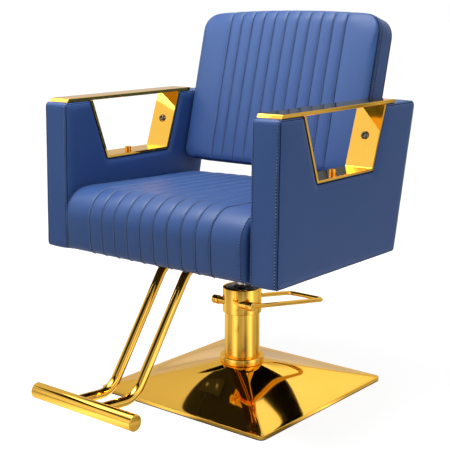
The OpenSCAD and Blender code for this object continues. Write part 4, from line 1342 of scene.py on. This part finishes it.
def build_base():
    s = settings("base")

    def square(half, corner):
        """Square with rounded corners, as points round the swivel axis."""
        flat = half - corner
        made = []
        for q in range(4):
            points = [Vector((half, -flat + 2 * flat * i / s.side_points))
                      for i in range(s.side_points)]
            points += [Vector((flat + corner * math.cos(math.pi / 2 * i / s.corner_points),
                               flat + corner * math.sin(math.pi / 2 * i / s.corner_points)))
                       for i in range(s.corner_points)]
            a = q * math.pi / 2
            made += [Vector((p.x * math.cos(a) - p.y * math.sin(a),
                             p.x * math.sin(a) + p.y * math.cos(a))) for p in points]
        return made

    def ring(half, corner, share, neck, z):
        """Ring that lies between the square and the round neck by a share."""
        made = []
        for p in square(half, corner):
            q = p * (1 - share) + p.normalized() * neck * share
            made.append(Vector((q.x, q.y, z)))
        return made

    def height(share):
        """Height of the slope at a share of the way from the rim to the neck."""
        return s.rim + (s.top - s.rim) * share ** s.curve

    rings = [ring(s.half - s.sheet, s.corner - s.sheet, 0, s.neck, s.foot),
             ring(s.half, s.corner, 0, s.neck, s.foot)]
    for a in (0, 25, 50, 75):
        a = math.radians(a)
        draw = s.fold * (1 - math.cos(a))
        rings.append(ring(s.half - draw, s.corner - draw, 0, s.neck,
                          s.rim - s.fold + s.fold * math.sin(a)))
    for k in range(s.rings + 1):
        share = k / s.rings
        rings.append(ring(s.half - s.fold, s.corner - s.fold, share, s.neck, height(share)))
    rings.append(ring(s.half, s.corner, 1, s.bore, s.top))
    rings.append(ring(s.half, s.corner, 1, s.bore, s.top - s.sheet))
    inner_step = 4
    for k in range(s.rings, -1, -inner_step):
        share = k / s.rings
        rings.append(ring(s.half - s.sheet, s.corner - s.sheet, share, s.neck - s.sheet,
                          height(share) - s.sheet))
    add_crisp("base_shell", loft(rings, closed=True), 40, "base", "gold", "base_cover")


def pedal_place(s):
    """Matrix that moves a part from the origin to the middle of the pedal's axis."""
    return Matrix.Translation((0, -s.pedal_back, s.pedal_axis))


def build_pump():
    s = settings("pump")
    fit, gap, crisp = 0.1, 0.6, 40
    bore = s.cylinder + fit
    collar = rounded([(bore, s.collar_foot), (s.collar, s.collar_foot), (s.collar, s.collar_top),
                      (bore, s.collar_top)], 2.6, 5)
    add_crisp("collar_ring", lathe_through(collar), crisp, "base", "gold", "base_collar")
    pipe_bore, pipe_foot, pipe_top, lead = 40.0, 31.0, 206.0, 0.4
    pipe = [(pipe_bore, pipe_foot), (s.cylinder, pipe_foot), (s.cylinder, pipe_top - lead),
            (s.cylinder - lead, pipe_top), (pipe_bore, pipe_top)]
    add_crisp("cylinder_pipe", lathe_through(pipe), crisp, "base", "gold", "pump_cylinder")
    inside, mouth, lip = s.cylinder + gap, 41.1, 9
    low, high = s.sleeve_foot, s.sleeve_top
    shell = [(inside, low + lead),
             *rounded([(inside, low), (s.sleeve, low), (s.sleeve, high), (mouth, high)], 1.6),
             (mouth, high - lip), (inside, high - lip)]
    boss_r = 9.5
    profile = rounded([(0.0, -s.cylinder), (boss_r, -s.cylinder), (boss_r, s.cylinder),
                       (0.0, s.cylinder)], 0.8, 3)
    boss = moved(lathe(profile, 64), pedal_place(s) @ ALONG_X)
    add_crisp("sleeve_shell", join(lathe_through(shell), boss), crisp, "base", "gold",
              "pump_sleeve")
    hole, neck, neck_top = s.ram + gap, 17.0, high + 6.0
    lid = rounded([(hole, high - 8.8), (41.0, high - 8.8), (41.0, high - 1.6), (36.0, high + 0.2),
                   (neck, high + 1.6), (neck, neck_top), (hole, neck_top)], 0.6, 3)
    add_crisp("top_cap", lathe_through(lid, 96), crisp, "base", "black_plastic", "pump_cap")
    foot, top = -6.0, 4.0
    profile = rounded([(0.0, foot), (s.lobe, foot), (s.lobe, top), (0.0, top)], 1.0, 3)
    lobe = new_piece("lobe", *lathe(profile, 24))
    obj = grown("cap_lobes", bpy.data.meshes.new("lobe_ring"), tree_named("lobe_ring", lobe_tree),
                {"Lobes": s.lobes, "Circle radius": s.lobe_circle * MM, "Height": high * MM,
                 "Lobe object": lobe, "Plastic material": LOOKS["black_plastic"]})
    bpy.data.objects.remove(lobe)
    sharpen(obj, crisp)
    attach(obj, "base")
    piston, piston_foot, piston_top, shoulder, tip = 19.9, 32.0, 50.0, 54.0, 0.8
    rod = [(0.0, piston_foot), (piston, piston_foot), (piston, piston_top), (s.ram, shoulder),
           (s.ram, s.ram_top - tip), (s.ram - tip, s.ram_top), (0.0, s.ram_top)]
    add_crisp("ram_rod", lathe(rod), crisp, "piston", "chrome", "ram")


def build_pedal():
    s = settings("pump")
    half = s.pedal_half
    across = pedal_place(s) @ ALONG_X
    pin, pin_end = 6.5, half + 0.5
    parts = [moved(lathe([(0, -pin_end), (pin, -pin_end), (pin, pin_end), (0, pin_end)], 48),
                   across)]
    knob_r, knob_start, knob_end, dimple = 11.0, 44.0, 61.3, 59.8
    knob = rounded([(0.0, knob_start), (knob_r, knob_start), (knob_r, knob_end), (2.6, knob_end),
                    (2.4, dimple), (0.0, dimple)], 0.4, 2)
    for side in (1, -1):
        parts.append(moved(lathe([(r, side * z) for r, z in knob], 64), across))
    add_crisp("pedal_pin", join(*parts), 35, "pedal", "gold", "pedal_shaft")
    start, corner = 5.0, 20.0
    path = route([Vector(p) for p in ((half, start, 0), (half, s.pedal_reach, 0),
                                      (-half, s.pedal_reach, 0), (-half, start, 0))],
                 [0, corner, corner, 0], n=14)
    turn = pedal_place(s) @ Matrix.Rotation(-s.pedal_droop, 4, "X")
    rod = moved(tube_path(path, s.pedal_rod, 32, Vector((0, 0, 1))), turn)
    add_crisp("pedal_rod", rod, 50, "pedal", "gold", "pedal_loop")


def build_footrest():
    s = settings("footrest")
    # Places as (y, z): the tubes' rear end in the clamp, their knee, their ankle and their
    # front end inside the bar.
    inside, knee_bend, ankle_bend = 10, 50.0, 60.0
    places = ((-128.0, 358.98), (-244.0, 358.98), (-430.0, 101.0),
              (inside - s.bar_front, s.bar_height))
    parts = []
    for x in (-s.spacing, s.spacing):
        path = route([Vector((x, *place)) for place in places],
                     [0, knee_bend, ankle_bend, 0], n=16)
        parts.append(tube_path(path, s.tube, 48, Vector((1, 0, 0))))
    add_crisp("footrest_legs", join(*parts), 50, "seat", "gold", "footrest_tubes")
    place = Matrix.Translation((0, -s.bar_front, s.bar_height)) @ ALONG_X
    bar = rounded([(0.0, -s.bar_half), (s.bar, -s.bar_half), (s.bar, s.bar_half),
                   (0.0, s.bar_half)], 1.6)
    add_crisp("footrest_t_bar", moved(lathe(bar), place), 40, "seat", "gold", "footrest_bar",
              "footrest_caps")


def build_hidden():
    """CAD nodes that stay get a material each."""
    for name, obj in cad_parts.items():
        if name in NODE_LOOKS:
            obj.data.materials.clear()
            obj.data.materials.append(LOOKS[NODE_LOOKS[name]])


# Studio

# Azimuth round the chair in degrees, and the brightness that bright metal sees there on the
# floor and low in the sky.
CARDS = ((-180, 0.80), (-168, 0.95), (-152, 0.46), (-124, 0.52), (-112, 1.0), (-99, 1.6),
         (-86, 1.1), (-76, 0.36), (-64, 0.30), (-52, 0.40), (-45, 0.62), (-38, 0.24),
         (-30, 0.24), (-20, 0.8), (-8, 1.4), (3, 2.0), (12, 1.3), (22, 0.80), (36, 0.75),
         (50, 0.75), (54, 0.70), (55.5, 0.36), (57, 0.44), (58, 0.95), (59.2, 0.38), (61, 0.48),
         (75, 0.8), (100, 0.85), (130, 0.68), (180, 0.80))
CARD_PEAK = 2.0

# Name, place, aim, size and power of each lamp, and whether dull surfaces and metal show it.
LAMPS = (("key", (-0.3, -0.6, 2.3), (0, 0, 0.5), 1.0, 40.0, True, True),
         ("side", (2.2, 0.5, 1.2), (0.3, 0, 0.5), 1.2, 4.5, True, False),
         ("sheen", (-0.77, -0.56, 1.36), (0, -0.1, 0.6), 0.7, 4.5, False, True),
         ("cap_card", (-0.21, -0.644, 1.387), (0.31, -0.31, 0.73), 0.22, 0.17, False, True))

FLOOR_HALF = 40.0
FLOOR = ((-FLOOR_HALF, -FLOOR_HALF), (FLOOR_HALF, -FLOOR_HALF), (FLOOR_HALF, FLOOR_HALF),
         (-FLOOR_HALF, FLOOR_HALF))

# Outline and height of the black card.
BLACK_CARD = ((-0.40, 0.14), (-0.06, 0.14), (-0.02, 0.29), (0.10, 0.335), (0.10, 0.375),
              (-0.045, 0.455), (-0.13, 0.44), (-0.39, 0.28))
BLACK_CARD_HEIGHT = 0.372


def grey(level):
    return (level, level, level)


def cards_round(graph, across, depth):
    """Brightness of the bands at a place on the floor or in a direction of the sky."""
    around = graph.add("ShaderNodeMath", {"operation": "ARCTAN2"}, {0: depth, 1: across})
    stops = [(azimuth / 360 + 0.5, level / CARD_PEAK) for azimuth, level in CARDS]
    turn = around / (2 * math.pi) + 0.5
    return graph.add("ShaderNodeValToRGB", {"stops": stops}, {0: turn}) * CARD_PEAK


def sheet(name, look_name, shape, height, deep, pale):
    """Level sheet of paper. Returns it with its look and the pattern of its fibres."""
    mesh = bpy.data.meshes.new(name)
    mesh.from_pydata([(x, y, height) for x, y in shape], [], [range(len(shape))])
    obj = bpy.data.objects.new(name, mesh)
    bpy.context.scene.collection.objects.link(obj)
    look = Look(look_name, Specular_IOR_Level=0.0)
    fibre = look.noise(30.0, 3.0)
    look.feed("Base Color", look.mix(fibre, grey(deep), grey(pale)))
    mesh.materials.append(look.material)
    return obj, look, fibre


def build_floor():
    """White paper under the chair, on which bright metal sees bands of light and shade."""
    floor, look, fibre = sheet("floor", "floor_paper", FLOOR, 0, 0.54, 0.56)
    look.feed("Roughness", fibre * 0.1 + 0.85)
    cards = cards_round(look, look.axis("X"), look.axis("Y"))
    path = look.add("ShaderNodeLightPath", out="Is Camera Ray")
    reach = look.add("ShaderNodeVectorMath", {"operation": "LENGTH"}, {0: look.place}, "Value")
    seen = path * reach.smooth_step(0.5, 1.8, low=0.745, high=0.80)
    lit_by_lamps, everywhere, strength = 0.42, 0.04, 2.0
    shine = path.sibling("Is Glossy Ray") * (cards - lit_by_lamps)
    glow = (seen + shine + everywhere) / strength
    look.feed("Emission Color", look.mix(glow, grey(0.0), grey(1.0)))
    look.shader.inputs["Emission Strength"].default_value = strength


def build_sky():
    """Even light for dull surfaces, and bands and soft patches that only metal shows."""
    scene = bpy.context.scene
    scene.world = bpy.data.worlds.new("studio")
    scene.world.use_nodes = True
    sky = Graph(scene.world.node_tree)
    sky.tree.nodes.clear()
    place = sky.add("ShaderNodeTexCoord", out="Generated")

    def patch(towards, start, end, level):
        """Soft patch of sky round a direction."""
        dot = sky.add("ShaderNodeVectorMath", {"operation": "DOT_PRODUCT"},
                      {0: place, 1: Vector(towards).normalized()}, "Value")
        return dot.smooth_step(start, end, high=level)

    height = sky.add("ShaderNodeSeparateXYZ", None, {0: place}, "Z")
    across, depth = height.sibling("X"), height.sibling("Y")
    # A dark strip over the front of the sky, which lies higher on the right.
    lifted = height - across.smooth_step(-0.45, -0.15, high=0.13)
    strip = (lifted.smooth_step(0.53, 0.57) * lifted.smooth_step(0.76, 0.71)
             * depth.smooth_step(-0.02, -0.10))
    # Higher up, the bands fade to a plain tone.
    cards = cards_round(sky, across, depth)
    low = height.smooth_step(0.72, 0.55)
    plain, strip_depth = 0.85, 0.97
    shiny = ((cards * low + (1.0 - low) * plain) * (1.0 - strip * strip_depth)
             + patch((-0.63, -0.72, 0.30), 0.90, 0.985, 0.55)
             + patch((-0.29, 0.755, 0.588), 0.985, 0.998, 0.5))
    glossy = sky.add("ShaderNodeLightPath", out="Is Glossy Ray")
    even = height.smooth_step(-0.2, 0.9, low=0.31, high=0.41)
    level = glossy * shiny + (1.0 - glossy) * even
    white = (*grey(1.0), 1.0)
    room = sky.add("ShaderNodeBackground", None, {0: white, 1: level})
    backdrop = sky.add("ShaderNodeBackground", None, {0: white, 1: 1.0})
    pick = sky.add("ShaderNodeMixShader", None,
                   {0: glossy.sibling("Is Camera Ray"), 1: room, 2: backdrop})
    sky.add("ShaderNodeOutputWorld", None, {0: pick})


def build_lamps():
    for name, place, aim, size, power, on_dull, on_metal in LAMPS:
        light = bpy.data.lights.new(name, "AREA")
        light.shape = "SQUARE"
        light.size = size
        light.energy = power
        obj = bpy.data.objects.new(name, light)
        obj.location = place
        obj.rotation_euler = (Vector(aim) - Vector(place)).to_track_quat("-Z", "Y").to_euler()
        obj.visible_camera = False
        obj.visible_diffuse = on_dull
        obj.visible_glossy = on_metal
        bpy.context.scene.collection.objects.link(obj)


def build_card():
    """A black card behind the seat, which only metal shows."""
    card, _, _ = sheet("black_card", "card_black", BLACK_CARD, BLACK_CARD_HEIGHT, 0.004, 0.006)
    card.visible_camera = False
    card.visible_diffuse = False
    card.visible_shadow = False


def build_camera():
    turn, lean, roll = (math.radians(v) for v in (40.52, -11.87, -0.47))
    place = (1.5569, -1.99975, 0.94684)
    forward = Vector((-math.sin(turn) * math.cos(lean), math.cos(turn) * math.cos(lean),
                      math.sin(lean)))
    right = Vector((math.cos(turn), math.sin(turn), 0))
    up = right.cross(forward)
    across = right * math.cos(roll) + up * math.sin(roll)
    upward = up * math.cos(roll) - right * math.sin(roll)
    data = bpy.data.cameras.new("camera")
    data.sensor_width = 36.0
    data.lens = 84.5
    data.shift_x = 0.0667
    data.clip_end = 200.0
    camera = bpy.data.objects.new("camera", data)
    rotation = Matrix((across, upward, -forward)).transposed().to_4x4()
    camera.matrix_world = Matrix.Translation(place) @ rotation
    scene = bpy.context.scene
    scene.collection.objects.link(camera)
    scene.camera = camera
    scene.view_settings.view_transform = "Standard"


# Operators

class CHAIR_OT_seat(bpy.types.Operator):
    """Builds the channelled seat cushion"""
    bl_idname = "chair.seat"
    bl_label = "Seat cushion"

    def execute(self, context):
        build_seat()
        return {"FINISHED"}


class CHAIR_OT_back(bpy.types.Operator):
    """Builds the channelled back"""
    bl_idname = "chair.back"
    bl_label = "Back"

    def execute(self, context):
        build_back()
        return {"FINISHED"}


class CHAIR_OT_arms(bpy.types.Operator):
    """Builds the upholstered arms"""
    bl_idname = "chair.arms"
    bl_label = "Arms"

    def execute(self, context):
        build_arms()
        return {"FINISHED"}


class CHAIR_OT_trim(bpy.types.Operator):
    """Builds the arms' metal caps, window liners and bolts"""
    bl_idname = "chair.trim"
    bl_label = "Arm trim"

    def execute(self, context):
        build_trim()
        build_bolts()
        return {"FINISHED"}


class CHAIR_OT_base(bpy.types.Operator):
    """Builds the pressed base"""
    bl_idname = "chair.base"
    bl_label = "Base"

    def execute(self, context):
        build_base()
        return {"FINISHED"}


class CHAIR_OT_pump(bpy.types.Operator):
    """Builds the pump and its foot pedal"""
    bl_idname = "chair.pump"
    bl_label = "Pump and pedal"

    def execute(self, context):
        build_pump()
        build_pedal()
        return {"FINISHED"}


class CHAIR_OT_footrest(bpy.types.Operator):
    """Builds the footrest"""
    bl_idname = "chair.footrest"
    bl_label = "Footrest"

    def execute(self, context):
        build_footrest()
        return {"FINISHED"}


class CHAIR_OT_hidden(bpy.types.Operator):
    """Gives the frame's inner pieces their materials"""
    bl_idname = "chair.hidden"
    bl_label = "Inner pieces"

    def execute(self, context):
        build_hidden()
        return {"FINISHED"}


class CHAIR_OT_studio(bpy.types.Operator):
    """Builds the floor, the lights and the camera"""
    bl_idname = "chair.studio"
    bl_label = "Studio"

    def execute(self, context):
        build_floor()
        build_sky()
        build_lamps()
        build_card()
        build_camera()
        return {"FINISHED"}


OPERATORS = (CHAIR_OT_seat, CHAIR_OT_back, CHAIR_OT_arms, CHAIR_OT_trim, CHAIR_OT_base,
             CHAIR_OT_pump, CHAIR_OT_footrest, CHAIR_OT_hidden, CHAIR_OT_studio)


class CHAIR_PT_panel(bpy.types.Panel):
    """Buttons of the chair's pieces"""
    bl_idname = "CHAIR_PT_panel"
    bl_label = "Styling chair"
    bl_space_type = "VIEW_3D"
    bl_region_type = "UI"
    bl_category = "Chair"

    def draw(self, context):
        for operator in OPERATORS:
            self.layout.operator(operator.bl_idname)
        for name, group in SETTINGS.items():
            box = self.layout.box()
            box.label(text=name.capitalize())
            for key in group.__annotations__:
                box.prop(getattr(context.scene, "chair_" + name), key)


def register():
    for name, group in SETTINGS.items():
        bpy.utils.register_class(group)
        setattr(bpy.types.Scene, "chair_" + name, PointerProperty(type=group))
    for item in (*OPERATORS, CHAIR_PT_panel):
        bpy.utils.register_class(item)


def unregister():
    for item in reversed((*OPERATORS, CHAIR_PT_panel)):
        bpy.utils.unregister_class(item)
    for name, group in SETTINGS.items():
        delattr(bpy.types.Scene, "chair_" + name)
        bpy.utils.unregister_class(group)


def main():
    register()
    LOOKS.update(make_looks())
    for operator in OPERATORS:
        getattr(bpy.ops.chair, operator.bl_idname.split(".")[1])()


if __name__ == "__main__":
    main()
